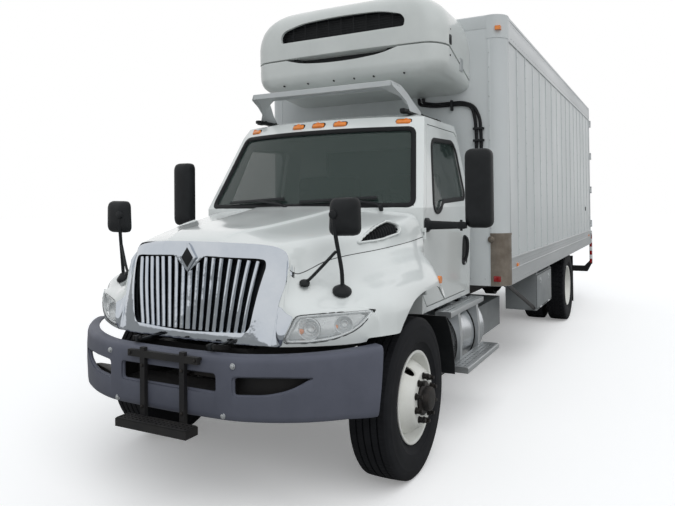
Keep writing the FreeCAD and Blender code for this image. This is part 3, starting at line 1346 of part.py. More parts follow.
hinge_stand_out = size("hinge_stand_out", 15, "cargo hinge axis outside the box's side")
hinge_stand_back = size("hinge_stand_back", 17, "cargo hinge axis behind the rear face")
barrel_radius = size("barrel_radius", 11)
pin_radius = size("pin_radius", 6)
cargo_x = box_half + hinge_stand_out
cargo_y = Y(box_rear) + hinge_stand_back
opening_half = box_half - post_width
opening_high = box_high - 130
frame_rim = rectangle(-box_half, box_low, box_half, box_high)
doorway = rectangle(-opening_half, floor_top, opening_half, opening_high)
rear_portal = plate("rear_portal", "XZ", Y(box_rear) - rear_depth, Y(box_rear), frame_rim, doorway)
hinge_heights = [floor_top + 160, floor_top + 780, floor_top + 1400, opening_high - 160]
lugs = []
for n, z in enumerate(hinge_heights):
    for end, low in (("below", z - 62), ("above", z + 32)):
        lugs.append(bar("lug_%s_%d" % (end, n + 1), (cargo_x, cargo_y, low), "Z", 30, barrel_radius))
        lugs.append(
            block("lug_web_%s_%d" % (end, n + 1), (box_half - 15, Y(box_rear) - 1, low), (cargo_x, cargo_y, low + 30))
        )
    lugs.append(bar("cargo_pin_%d" % (n + 1), (cargo_x, cargo_y, z - 62), "Z", 124, pin_radius))
left_lugs = fuse("left_lugs", *lugs)
box_rear_frame = node("box_rear_frame", fuse("box_rear_frame", rear_portal, left_lugs, mirrored("right_lugs", left_lugs)))

cargo_gap = size("cargo_gap", 6, "gap round the cargo doors")
cargo_wall = size("cargo_wall", 60, "thickness of a cargo door")
rod_radius = size("rod_radius", 11)
leaf = block(
    "cargo_leaf", (cargo_gap / 2, Y(box_rear) - cargo_wall, floor_top + cargo_gap),
    (opening_half - cargo_gap, Y(box_rear), opening_high - cargo_gap),
)
door_parts = [leaf]
for n, z in enumerate(hinge_heights):
    door_parts.append(
        block("strap_pad_%d" % (n + 1), (opening_half - 90, Y(box_rear) - 1, z - 25), (opening_half - cargo_gap, Y(box_rear) + 6, z + 25))
    )
    door_parts.append(
        block("strap_%d" % (n + 1), (opening_half - 90, Y(box_rear) + 5, z - 25), (cargo_x, Y(box_rear) + 13, z + 25))
    )
    door_parts.append(bar("strap_barrel_%d" % (n + 1), (cargo_x, cargo_y, z - 27), "Z", 54, barrel_radius))
for n, x in enumerate((170, 760)):
    door_parts.append(
        bar("lock_rod_%d" % (n + 1), (x, Y(box_rear) + rod_radius - 1, floor_top + 30), "Z", opening_high - floor_top - 60, rod_radius)
    )
    door_parts.append(
        block("rod_keeper_%d" % (n + 1), (x - 45, Y(box_rear) - 1, floor_top + 330), (x + 45, Y(box_rear) + rod_radius * 2, floor_top + 400))
    )
strap_bores = [
    bar("strap_bore_%d" % (n + 1), (cargo_x, cargo_y, z - 30), "Z", 60, pin_radius + bearing_gap)
    for n, z in enumerate(hinge_heights)
]
cargo_door_left = node("cargo_door_left", cut("cargo_door_left", fuse("cargo_door_form", *door_parts), *strap_bores))
cargo_door_right = node("cargo_door_right", mirrored("cargo_door_right", cargo_door_left))

# Refrigeration unit on the box front: an upper shroud with air openings over a rounded lower cowl
unit_half = size("unit_half", 955, "half the width of the refrigeration unit")
unit_front = size("unit_front", 1050)
unit_high = size("unit_high", 3650)
unit_low = size("unit_low", 2860)
unit_seam = size("unit_seam", 3005, "seam at the front")
unit_seam_rear = size("unit_seam_rear", 2930)
unit_radius = size("unit_radius", 190)
air_half = size("air_half", 620, "half the width of the upper air opening")
slot_half = size("slot_half", 570, "half the width of the lower air slot")


def unit_plan(inset):
    return [
        (-unit_half + inset, Y(box_front)), (-unit_half + inset, Y(unit_front) + unit_radius),
        (-unit_half + unit_radius, Y(unit_front) + 26 + inset, unit_radius - 18), (unit_half - unit_radius, Y(unit_front) + 26 + inset, 9000),
        (unit_half - inset, Y(unit_front) + unit_radius, unit_radius - 18), (unit_half - inset, Y(box_front)),
    ]


upper_plan = plate("upper_plan", "XY", unit_low - 100, unit_high + 10, unit_plan(0))
upper_side = plate(
    "upper_side", "YZ", -1000, 1000,
    [
        (Y(box_front), unit_seam_rear), (Y(box_front), unit_high), (Y(unit_front) + 260, unit_high),
        (Y(unit_front) + 10, unit_high - 190, 240), (Y(unit_front) - 10, unit_seam),
    ],
)
upper_front = plate(
    "upper_front", "XZ", Y(unit_front) - 50, Y(box_front) + 1,
    [
        (-unit_half - 10, unit_low - 100), (unit_half + 10, unit_low - 100), (unit_half, unit_high - 330),
        (unit_half - 170, unit_high - 25, 300), (unit_half - 320, unit_high, 600), (-unit_half + 320, unit_high),
        (-unit_half + 170, unit_high - 25, 600), (-unit_half, unit_high - 330, 300),
    ],
)
air_openings = []
for number, (half, low, high) in enumerate(((air_half, 3300, 3490), (slot_half, 3130, 3215))):
    air_openings.append(
        plate(
            "air_opening_%d" % (number + 1), "XZ", Y(unit_front) - 60, Y(unit_front) + 110,
            [
                (-half + 40, low), (half - 40, low), (half, low + 40, 40), (half, high - 40), (half - 40, high, 40),
                (-half + 40, high), (-half, high - 40, 40), (-half, low + 40),
            ],
        )
    )
reefer_housing = node("unit_shroud", cut("unit_shroud", common("unit_blank", upper_plan, upper_side, upper_front), *air_openings))
slats = []
for number, (half, low, count, pitch) in enumerate(((air_half - seat_gap, 3312, 7, 26), (slot_half - seat_gap, 3138, 3, 26))):
    body = new_body("air_slats_%d" % (number + 1))
    slat = pad(body, "XY", low, low + 8, [(-half, Y(unit_front) + 35), (half, Y(unit_front) + 35), (half, Y(unit_front) + 105), (-half, Y(unit_front) + 105)])
    along(body, [slat], "Z", pitch * (count - 1), count)
    slats.append(common("fitted_slats_%d" % (number + 1), body, air_openings[number]))
lower_side = plate(
    "lower_side", "YZ", -1000, 1000,
    [
        (Y(box_front), unit_seam_rear - 4), (Y(unit_front) - 4, unit_seam - 4), (Y(unit_front) + 90, unit_low + 20, 170),
        (Y(unit_front) + 260, unit_low - 10), (Y(box_front), unit_low - 50),
    ],
)
lower_front = plate(
    "lower_front", "XZ", Y(unit_front) - 50, Y(box_front) + 1,
    [
        (-unit_half + 260, unit_low - 60), (unit_half - 260, unit_low - 60), (unit_half - 60, unit_low + 20, 260),
        (unit_half - 4, unit_seam), (-unit_half + 4, unit_seam), (-unit_half + 60, unit_low + 20),
    ],
)
unit_cowl = node("unit_cowl", common("unit_cowl", plate("lower_plan", "XY", unit_low - 100, unit_seam + 10, unit_plan(4)), lower_side, lower_front))
unit_grilles = node("unit_grilles", group("unit_grilles", *slats))

# Hoses from the refrigeration unit along the front of the box and down beside the corner


def hose(name, points, radius):
    corners = [Vector(*[float(c) for c in p]) for p in points]
    edges = []
    start = corners[0]
    for i in range(1, len(corners) - 1):
        before, here, after = corners[i - 1], corners[i], corners[i + 1]
        into, out = (before - here).normalize(), (after - here).normalize()
        shorter = min((before - here).Length, (after - here).Length)
        reach = 0.45 * shorter
        first, last = here + into * reach, here + out * reach
        turn = math.pi - into.getAngle(out)
        bend = reach / math.tan(turn / 2)
        middle = (into + out).normalize()
        centre = here + middle * math.hypot(reach, bend)
        edges.append(Part.LineSegment(start, first).toShape())
        edges.append(Part.Arc(first, centre - middle * bend, last).toShape())
        start = last
    edges.append(Part.LineSegment(start, corners[-1]).toShape())
    path = Part.Wire(edges)
    way = (corners[1] - corners[0]).normalize()
    ring = Part.Wire(Part.Circle(corners[0], way, float(radius)).toShape())
    return feature(name, path.makePipeShell([ring], True, False))


hose_radius = size("hose_radius", 15)
face = Y(box_front) - hose_radius - seat_gap
hoses = []
for n, x in enumerate((0, 45)):
    hoses.append(
        hose(
            "hose_%d" % (n + 1),
            [
                (500 - x, face, unit_low - 53), (506 - x, face, unit_low - 100 - x / 3), (620, face, unit_low - 124 - x * 0.4),
                (760, face, unit_low - 122 - x * 0.4), (900 - x / 2, face, unit_low - 122 - x * 0.4),
                (1000 - x / 2, face, unit_low - 165), (1052 - x, face, 2580), (1062 - x, face, 2440), (1062 - x, face, 2290),
            ],
            hose_radius,
        )
    )
unit_hoses = node("unit_hoses", group("unit_hoses", *hoses))

# Roof guard over the cab: a folded beam on slanted side plates and two rails
guard_half = size("guard_half", 800)
guard_x = size("guard_x", 690)
guard_beam = plate(
    "guard_beam", "YZ", -guard_half, guard_half,
    [(Y(450), 2590), (Y(620), 2610), (Y(620), 2616), (Y(455), 2598), (Y(450), 2700), (Y(444), 2700)],
)
guard_plate = plate(
    "guard_plate", "YZ", guard_x - 4, guard_x + 4,
    [(Y(470), 2592), (Y(640), 2690), (Y(1010), cab_top + 28), (Y(1010), cab_top), (Y(940), cab_top), (Y(620), 2600)],
)
guard_rail = block("guard_rail", (guard_x - 20, Y(1030), cab_top), (guard_x + 20, Y(1640), cab_top + 26))
guard_side = fuse("guard_side", guard_plate, block("guard_foot", (guard_x - 20, Y(1000), cab_top), (guard_x + 20, Y(1031), cab_top + 26)), guard_rail)
roof_guard = node("roof_guard", fuse("roof_guard", guard_beam, guard_side, mirrored("guard_side_right", guard_side)))

# Lockers under the box on the left, mud flaps behind the twin wheels and the rear bumper
locker_case = block("locker_case", (905, Y(3390), 575), (1250, Y(4370), 980))
locker_legs = [
    block("locker_leg_%d" % (n + 1), (wall_in + 6, Y(at), 979), (1244, Y(at) + 60, box_low)) for n, at in enumerate((3440, 4260))
]
inner_case = block("inner_case", (480, Y(2250), 440), (890, Y(3170), 752))
inner_arms = [
    block("inner_arm_%d" % (n + 1), (rail_half, Y(at), 600), (500, Y(at) + 70, 900)) for n, at in enumerate((2380, 2960))
]
side_lockers = node("side_lockers", group("side_lockers", fuse("side_locker", locker_case, *locker_legs), fuse("inner_box", inner_case, *inner_arms)))
flap_y = REAR_AXLE + 640
flap = block("flap", (640, flap_y, 190), (1180, flap_y + 8, rail_top - 25))
flap_bar = bar("flap_bar", (rail_half, flap_y + 4, rail_top - 37), "X", 748, 16)
flap_form = fuse("flap_form", flap, flap_bar)
mud_flaps = node("mud_flaps", group("mud_flaps", flap_form, mirrored("flap_right", flap_form)))
bumper_rear = wheelbase + rear_overhang
rear_beam = block("rear_beam", (-1205, Y(bumper_rear) - 110, 500), (1205, Y(bumper_rear) - 10, 600))
rear_drop = plate(
    "rear_drop", "YZ", rail_half, rail_half + 12,
    [
        (Y(frame_rear) - 230, rail_bottom + 20), (Y(bumper_rear) - 110, 500), (Y(bumper_rear) - 20, 500), (Y(bumper_rear) - 20, 600),
        (Y(frame_rear) - 10, rail_top - 30), (Y(frame_rear) - 230, rail_top - 30),
    ],
)
end_post = block("end_post", (box_half - 42, Y(bumper_rear) - 80, 640), (box_half, Y(bumper_rear), floor_top - 12))
end_foot = plate(
    "end_foot", "XZ", Y(bumper_rear) - 80, Y(bumper_rear) - 20,
    [(1150, 500), (1205, 500), (box_half, 660), (box_half - 42, 700), (1150, 600)],
)
end_brace = block("end_brace", (box_half - 42, Y(box_rear), floor_top - 90), (box_half, Y(bumper_rear) - 79, floor_top - 30))
rear_side = fuse("rear_side", rear_drop, end_post, end_foot, end_brace)
rear_bumper = node("rear_bumper", fuse("rear_bumper", rear_beam, rear_side, mirrored("rear_side_right", rear_side)))

# Marker lamps on the cab header, the box corners and the box sides; side lamps on the fenders; lamps in the rear frame
lamp_z = size("lamp_z", 2452, "cab header lamps")
lamp_forms = []
for n, x in enumerate((0, 195, 735)):
    y = Y(header_front) - 185 + 42 + 205 * (x / 880) ** 2
    lamp_forms.append(bar("header_lamp_%d" % (n + 1), (x, y - 22, lamp_z), "Y", 60, 26))
header_lamps = []
for n, made in enumerate(lamp_forms):
    fitted = cut("header_lamp_fit_%d" % (n + 1), made, cab_outer)
    header_lamps.append(fitted)
    if n:
        header_lamps.append(mirrored("header_lamp_right_%d" % (n + 1), fitted))
corner_lamp = block("corner_lamp", (1200, Y(box_front) - 14, 3380), (1250, Y(box_front) + 60, 3416))
corner_fit = cut("corner_lamp_fit", corner_lamp, box_front_wall)
side_lamps = [
    block("box_side_lamp_%d" % (n + 1), (box_half, Y(at), rail_line - 90), (box_half + 12, Y(at) + 60, rail_line - 60))
    for n, at in enumerate((2250, 8200))
]
box_lamps = [corner_fit, *side_lamps]
box_lamps += [mirrored(made.Name + "_right", made) for made in list(box_lamps)]
marker_lamps = node("marker_lamps", group("marker_lamps", *header_lamps, *box_lamps))
fender_lamp = cut("fender_lamp", bar("fender_lamp_form", (1080, Y(280), 1262), "X", 110, 26), hood_outer)
fender_lamps = node("fender_lamps", group("fender_lamps", fender_lamp, mirrored("fender_lamp_right", fender_lamp)))
tail_lamps = []
for n, x in enumerate((850, 980, 1110)):
    tail_lamps.append(bar("tail_lamp_%d" % (n + 1), (x, Y(box_rear), floor_top - 110), "Y", 14, 50))
for n, x in enumerate((0, 160)):
    tail_lamps.append(bar("top_lamp_%d" % (n + 1), (x, Y(box_rear), opening_high + 60), "Y", 12, 26))
tail_lamps += [mirrored(made.Name + "_right", made) for made in tail_lamps if made.Name != "top_lamp_1"]
rear_lamps = node("rear_lamps", group("rear_lamps", *tail_lamps))

doc.recompute()
for made in doc.Objects:
    if "Invalid" in made.State or "Error" in made.State:
        raise RuntimeError(made.Name + " did not build")
os.makedirs("parts", exist_ok=True)
for made in nodes:
    if made.Shape.isNull() or not made.Shape.isValid():
        raise RuntimeError(made.Label + " is not a valid solid")
    made.Shape.exportStep("parts/" + made.Label + ".step")
    print(made.Label, len(made.Shape.Solids), round(made.Shape.Volume / 1e9, 5))
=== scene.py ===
"""A bonneted refrigerated truck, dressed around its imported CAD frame. Lengths are metres, and along the truck
they are measured from the front axle, which lies at FRONT_AXLE in the row frame."""
import math

import bpy
import bmesh
import numpy as np
from mathutils import Matrix, Vector


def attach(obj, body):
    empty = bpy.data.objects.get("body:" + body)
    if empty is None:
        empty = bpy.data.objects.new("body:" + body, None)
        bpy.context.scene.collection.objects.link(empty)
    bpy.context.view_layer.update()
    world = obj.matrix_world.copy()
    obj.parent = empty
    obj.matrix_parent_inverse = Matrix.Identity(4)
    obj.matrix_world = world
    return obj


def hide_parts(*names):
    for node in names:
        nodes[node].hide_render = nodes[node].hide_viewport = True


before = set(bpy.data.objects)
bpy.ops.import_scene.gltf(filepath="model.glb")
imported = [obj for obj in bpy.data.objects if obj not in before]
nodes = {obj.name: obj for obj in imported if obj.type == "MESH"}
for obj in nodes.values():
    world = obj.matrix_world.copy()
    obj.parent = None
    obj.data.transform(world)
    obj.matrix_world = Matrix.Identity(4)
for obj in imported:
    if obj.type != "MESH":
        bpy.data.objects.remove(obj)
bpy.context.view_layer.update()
scene = bpy.context.scene
scene.view_settings.view_transform = "Standard"
FRONT_AXLE = -3.75

# The camera stands ahead of the left headlamp, a little above the hood, where the photograph was taken.
YAW, PITCH, ROLL = 0.4808, -0.0141, -0.0098
camera_data = bpy.data.cameras.new("camera")
camera = bpy.data.objects.new("camera", camera_data)
scene.collection.objects.link(camera)
scene.camera = camera
camera_data.sensor_width, camera_data.lens = 36.0, 33.55
camera_data.shift_x, camera_data.shift_y = -0.0074, -0.0843
camera_data.clip_start, camera_data.clip_end = 0.1, 200.0
back = Vector((math.sin(YAW) * math.cos(PITCH), -math.cos(YAW) * math.cos(PITCH), math.sin(PITCH)))
right = (-back).cross(Vector((0, 0, 1))).normalized()
axes = Matrix((right, right.cross(-back), back)).transposed().to_4x4()
camera_place = Matrix.Translation((2.607, -3.9005 + FRONT_AXLE, 1.7853))
camera.matrix_world = camera_place @ axes @ Matrix.Rotation(ROLL, 4, "Z")

# A pale studio: a broad high key light from the front left over an even sky. The floor and the sky show white
# to the camera and to gloss, and stay greyer for the light that they throw back on the truck. Gloss doesn't
# see the lamp itself, which would burn white patches into the plating.
SKY_LEVEL, KEY_LEVEL, KEY_SPREAD, FLOOR_LIFT = 0.49, 1.50, 1.1, 0.21
WHITE = (1, 1, 1, 1)


def linear(colour):
    """An sRGB hex colour as linear RGBA."""
    parts = np.array([int(colour[i:i + 2], 16) for i in (1, 3, 5)]) / 255
    low, high = parts / 12.92, ((parts + 0.055) / 1.055) ** 2.4
    return (*np.where(parts <= 0.04045, low, high).tolist(), 1.0)


def blank(owner):
    """The owner's node tree, emptied."""
    owner.use_nodes = True
    owner.node_tree.nodes.clear()
    return owner.node_tree


def add(tree, kind, settings=(), links=()):
    """Adds one shader node: settings are input or property values, links come from (node, output) pairs."""
    made = tree.nodes.new(kind)
    for key, value in dict(settings).items():
        if isinstance(key, int) or key in made.inputs:
            made.inputs[key].default_value = value
        else:
            setattr(made, key, value)
    for key, (source, output) in dict(links).items():
        tree.links.new(source.outputs[output], made.inputs[key])
    return made


scene.world = bpy.data.worlds.new("studio_sky")
sky = blank(scene.world)
paths = add(sky, "ShaderNodeLightPath")
straight = add(sky, "ShaderNodeMath", {"operation": "MAXIMUM"},
               {0: (paths, "Is Camera Ray"), 1: (paths, "Is Transmission Ray")})
seen = add(sky, "ShaderNodeMath", {"operation": "MAXIMUM"}, {0: (straight, 0), 1: (paths, "Is Glossy Ray")})
lighting = add(sky, "ShaderNodeBackground", {"Color": linear("#f4f8fc"), "Strength": SKY_LEVEL})
shown = add(sky, "ShaderNodeBackground", {"Color": WHITE, "Strength": 1.0})
chosen = add(sky, "ShaderNodeMixShader", {}, {0: (seen, 0), 1: (lighting, 0), 2: (shown, 0)})
add(sky, "ShaderNodeOutputWorld", {}, {"Surface": (chosen, 0)})

key_data = bpy.data.lights.new("key_light", "SUN")
key_data.energy, key_data.angle = KEY_LEVEL, KEY_SPREAD
key = bpy.data.objects.new("key_light", key_data)
scene.collection.objects.link(key)
key.visible_glossy = False
key.rotation_euler = Vector((0.42, -0.48, 0.77)).to_track_quat("Z", "Y").to_euler()

floor_mesh = bpy.data.meshes.new("floor")
floor_mesh.from_pydata([(-90, -90, 0), (90, -90, 0), (90, 90, 0), (-90, 90, 0)], [], [(0, 1, 2, 3)])
floor = bpy.data.objects.new("floor", floor_mesh)
scene.collection.objects.link(floor)
floor_mesh.materials.append(bpy.data.materials.new("pale_studio_floor"))
tree = blank(floor_mesh.materials[0])
paths = add(tree, "ShaderNodeLightPath")
shade = add(tree, "ShaderNodeMix", {"data_type": "RGBA", 6: linear("#b4b4b2"), 7: WHITE},
            {0: (paths, "Is Camera Ray")})
surface = add(tree, "ShaderNodeBsdfDiffuse", {}, {"Color": (shade, 2)})
lift = add(tree, "ShaderNodeMath", {"operation": "MULTIPLY", 1: FLOOR_LIFT}, {0: (paths, "Is Camera Ray")})
glow = add(tree, "ShaderNodeEmission", {}, {"Strength": (lift, 0)})
both_lights = add(tree, "ShaderNodeAddShader", {}, {0: (surface, 0), 1: (glow, 0)})
add(tree, "ShaderNodeOutputMaterial", {}, {"Surface": (both_lights, 0)})


# Finishes, each first used on the frame's own pieces, with the slot that each belongs to.
by_slot, slot_of = {}, {}


def finish(slot, name, colour, drift, patch, roughness, wander=0.06, metallic=0.0, grain=0.0, depth=0.0,
           stretch=(1, 1, 1), **sockets):
    """A finish whose colour goes between colour and drift over patches of that size in metres, whose
    roughness wanders with it, and whose surface rises and falls by depth over grains of that size."""
    made = bpy.data.materials.new(name)
    tree = blank(made)
    place = add(tree, "ShaderNodeTexCoord")
    scaled = add(tree, "ShaderNodeMapping", {"Scale": stretch}, {"Vector": (place, "Object")})
    cloud = add(tree, "ShaderNodeTexNoise", {"Scale": 1 / patch, "Detail": 6.0, "Roughness": 0.6},
                {"Vector": (scaled, 0)})
    spread = add(tree, "ShaderNodeMapRange", {"From Min": 0.3, "From Max": 0.7}, {"Value": (cloud, 0)})
    mixed = add(tree, "ShaderNodeMix", {"data_type": "RGBA", 6: linear(colour), 7: linear(drift)},
                {0: (spread, 0)})
    rough = add(tree, "ShaderNodeMapRange", {"To Min": roughness - wander, "To Max": roughness + wander},
                {"Value": (cloud, 0)})
    links = {"Base Color": (mixed, 2), "Roughness": (rough, 0)}
    if depth:
        fine = add(tree, "ShaderNodeTexNoise", {"Scale": 1 / grain, "Detail": 3.0}, {"Vector": (scaled, 0)})
        links["Normal"] = (add(tree, "ShaderNodeBump", {"Strength": 1.0, "Distance": depth},
                               {"Height": (fine, 0)}), 0)
    shader = add(tree, "ShaderNodeBsdfPrincipled", {"Metallic": metallic, **sockets}, links)
    add(tree, "ShaderNodeOutputMaterial", {}, {"Surface": (shader, 0)})
    slot_of[name] = slot
    by_slot.setdefault(slot, made)
    return made


# Cab paint: clean cool white under a clear coat, with sharp soft-edged highlights.
cab_white = finish("white_paint", "white_acrylic_cab_paint", "#dfe3e2", "#d7dcdb", 0.9, 0.22, 0.05,
                   grain=0.012, depth=0.00003, **{"Coat Weight": 0.6, "Coat Roughness": 0.06})
# Chassis paint: flat worn black that lifts to grey dust in patches.
chassis_black = finish("frame_black", "satin_black_chassis_paint", "#1d1d1f", "#2b2a29", 0.25, 0.5, 0.1,
                       grain=0.004, depth=0.0002, **{"Specular IOR Level": 0.22})
# Tyre rubber: deep matt black.
tyre_rubber = finish("tyre_rubber", "carbon_black_tyre_rubber", "#151619", "#202124", 0.11, 0.72, 0.08,
                     grain=0.003, depth=0.0002, **{"Specular IOR Level": 0.15})
# Wheel powder coat: warm white with a dull sheen.
wheel_white = finish("wheel_white", "white_powder_coated_steel", "#e9eae6", "#dcdcd6", 0.2, 0.33, 0.07,
                     grain=0.004, depth=0.00006)
# Forged steel: dark, oily and half bright on its edges.
forged_steel = finish("forged_steel", "oiled_forged_steel", "#222223", "#34302d", 0.05, 0.48, 0.12, 0.6,
                      grain=0.004, depth=0.0003)
# Mill aluminium: pale grey metal with fine lines along the extrusion.
mill_aluminium = finish("aluminium", "mill_finish_aluminium_extrusion", "#c3c6c8", "#b0b4b6", 0.25, 0.42,
                        0.1, 0.85, grain=0.004, depth=0.00008, stretch=(1, 0.12, 1))
# Box sheet: cool white with slow waves between the posts.
box_white = finish("box_white", "white_pre_painted_aluminium_sheet", "#cfd3d4", "#c2c7c8", 0.7, 0.4, 0.08,
                   grain=0.09, depth=0.0006, stretch=(1, 1, 0.5))
# Chrome: bright cold mirror whose reflections bend over slight waves.
chrome = finish("chrome", "bright_chrome_plated_plastic", "#c3c8ce", "#b3bac3", 0.3, 0.08, 0.03, 1.0,
                grain=0.10, depth=0.0022)
# Bumper: blue-grey plastic with a leathery grain and a broad dull highlight.
bumper_plastic = finish("grey_plastic", "grained_grey_polypropylene", "#595c68", "#4f525d", 0.3, 0.52, 0.08,
                        grain=0.0025, depth=0.0003, **{"Specular IOR Level": 0.3})
# Black trim: grained, nearly matt plastic.
black_plastic = finish("black_plastic", "grained_black_polypropylene", "#17191b", "#222426", 0.12, 0.5, 0.1,
                       grain=0.002, depth=0.0002, **{"Specular IOR Level": 0.22})
# Window glass: dark green tint with crisp reflections.
finish("glass", "green_tinted_laminated_glass", "#3a4a46", "#344440", 2.0, 0.03, 0.01,
       **{"Alpha": 0.50, "IOR": 1.5})
# Lamp lens: clear, seen by its highlights.
clear_lens = finish("lamp_lens", "clear_polycarbonate_lens", "#e4e8e8", "#dadfdf", 0.2, 0.06, 0.03,
                    **{"Alpha": 0.16, "IOR": 1.58})
# Lamp reflector: soft bright silver.
lamp_silver = finish("chrome", "vacuum_metallised_lamp_reflector", "#e6e9ea", "#d6dadc", 0.05, 0.26, 0.05,
                     0.55)
# Mirror glass: a plain clean reflection.
mirror_silver = finish("chrome", "silvered_mirror_glass", "#c8ced2", "#c4cacf", 0.5, 0.02, 0.01, 1.0)
# Amber and red lenses: glossy, saturated and a little uneven.
amber_lens = finish("amber_lens", "amber_acrylic_lens", "#f08c2c", "#e0761a", 0.03, 0.18, 0.04,
                    **{"Coat Weight": 0.5})
red_lens = finish("red_lens", "red_acrylic_lens", "#9c1418", "#7f0d10", 0.03, 0.18, 0.04,
                  **{"Coat Weight": 0.5})
# Seal rubber: soft dull black.
black_rubber = finish("rubber", "extruded_black_rubber", "#141517", "#1d1e20", 0.08, 0.6, 0.08, grain=0.003,
                      depth=0.0002, **{"Specular IOR Level": 0.2})
# Seat cloth: mid grey with a fine weave and a faint bloom at its edges.
seat_cloth = finish("fabric", "grey_woven_seat_cloth", "#4a4b4e", "#3e3f42", 0.02, 0.9, 0.05, grain=0.0025,
                    depth=0.0008, **{"Sheen Weight": 0.3})
# Unit gelcoat: slightly warmer and duller white than the cab.
unit_white = finish("white_paint", "white_gelcoat_unit_housing", "#d2d6d4", "#c6cbc9", 0.5, 0.3, 0.06,
                    grain=0.02, depth=0.00008, **{"Coat Weight": 0.3})
for made in nodes.values():
    for place in made.material_slots:
        place.material = next(by_slot[s] for s in by_slot if place.material.name.startswith(s))


# Tyres: steel-belted radials, moulded in black rubber. Ribs run round the front treads, and the twin rear
# tyres have open shoulder lugs. Each section is turned about the axle.
TYRE_RADIUS, TYRE_HALF, TREAD_HALF, BEAD_RADIUS = 0.5195, 0.138, 0.112, 0.2868
FRONT_TYRE_X, REAR_OUTER_X, REAR_INNER_X = 0.985, 1.063, 0.727
AXLE_HEIGHT, WHEELBASE = 0.52, 6.28


def skin(rows, around=False, capped=False):
    """A sheet over an (n, m, 3) grid of points: quads join neighbouring rows, and the last column to the
    first if it goes around. Capped, flat faces close the first and the last row."""
    n, m = rows.shape[:2]
    i, j = np.meshgrid(np.arange(n - 1), np.arange(m if around else m - 1), indexing="ij")
    a, b = i * m + j, i * m + (j + 1) % m
    quads = np.stack([a, b, b + m, a + m], -1).reshape(-1, 4)
    caps = [np.arange(m)[::-1], np.arange((n - 1) * m, n * m)] if capped else []
    return np.asarray(rows, float).reshape(-1, 3), quads, caps


def circle_of(steps):
    """The angles of evenly spaced points round a circle, and their cosines and sines."""
    angle = np.linspace(0, 2 * np.pi, steps, endpoint=False)
    return angle, np.cos(angle), np.sin(angle)


def turned(section, steps, centre=(0, 0, 0), axis="X", wave=None):
    """A section of (along, radius) points turned about an axis through centre; wave(along, radius, angle) may
    give the radius at each point."""
    along, radius = np.asarray(section, float).T[:, :, None]
    angle, across, rise = circle_of(steps)
    out = radius + 0 * angle if wave is None else wave(along, radius, angle[None, :])
    parts = [along + 0 * angle, out * across, out * rise]
    order = {"X": (0, 1, 2), "Y": (2, 0, 1), "Z": (1, 2, 0)}[axis]
    return skin(np.stack([parts[k] for k in order], -1) + np.array(centre), around=True)


def welded(mesh, distance):
    """Welds a mesh's points that lie closer than the distance, and turns its faces outwards."""
    work = bmesh.new()
    work.from_mesh(mesh)
    bmesh.ops.remove_doubles(work, verts=work.verts, dist=distance)
    bmesh.ops.recalc_face_normals(work, faces=work.faces)
    work.to_mesh(mesh)
    work.free()


def worked(made):
    """A new mesh of the object as its modifiers leave it."""
    return bpy.data.meshes.new_from_object(made.evaluated_get(bpy.context.evaluated_depsgraph_get()))


def piece(name, look, parts, stands_for=(), body="chassis", sharp=35, bevel=0.0):
    """Joins parts into one closed mesh with its normals outwards and its sharp edges bevelled, and lets it
    ride on a CAD body."""
    starts = np.cumsum([0] + [len(p[0]) for p in parts])
    points = np.concatenate([p[0] for p in parts]) + np.array((0, FRONT_AXLE, 0))
    quads = np.concatenate([p[1] + s for p, s in zip(parts, starts)])
    caps = [c + s for p, s in zip(parts, starts) for c in p[2]]
    corners = np.concatenate([quads.ravel(), *caps]).astype(np.int32)
    sides = np.array([4] * len(quads) + [len(c) for c in caps], np.int32)
    mesh = bpy.data.meshes.new(name)
    mesh.vertices.add(len(points))
    mesh.vertices.foreach_set("co", points.ravel())
    mesh.loops.add(len(corners))
    mesh.loops.foreach_set("vertex_index", corners)
    mesh.polygons.add(len(sides))
    mesh.polygons.foreach_set("loop_start", (np.cumsum(sides) - sides).astype(np.int32))
    mesh.update(calc_edges=True)
    mesh.validate()
    welded(mesh, 2e-5)
    made = bpy.data.objects.new(name, mesh)
    scene.collection.objects.link(made)
    if bevel:
        step = made.modifiers.new("soft_edges", "BEVEL")
        step.width, step.segments, step.limit_method, step.angle_limit = bevel, 3, "ANGLE", math.radians(45)
        done = worked(made)
        made.modifiers.clear()
        made.data = mesh = done
    mesh.polygons.foreach_set("use_smooth", np.ones(len(mesh.polygons), bool))
    mesh.set_sharp_from_angle(angle=math.radians(sharp))
    mesh.materials.append(look)
    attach(made, body)
    if stands_for:
        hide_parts(*stands_for)
    return made


def mirrored(part):
    """The same part on the other side of the truck."""
    return part[0] * np.array((-1, 1, 1)), part[1], part[2]


def both(parts):
    """The parts and their mirror images."""
    return [*parts, *map(mirrored, parts)]


def pair(name, look, parts, stands_for=(), body="hood_assembly", **rest):
    """A piece on the left and its mirror image on the right; SIDE in a node's or body's name is that side."""
    for side, sided in (("left", parts), ("right", [mirrored(part) for part in parts])):
        hidden = [node.replace("SIDE", side) for node in stands_for]
        piece(name + "_" + side, look, sided, hidden, body.replace("SIDE", side), **rest)


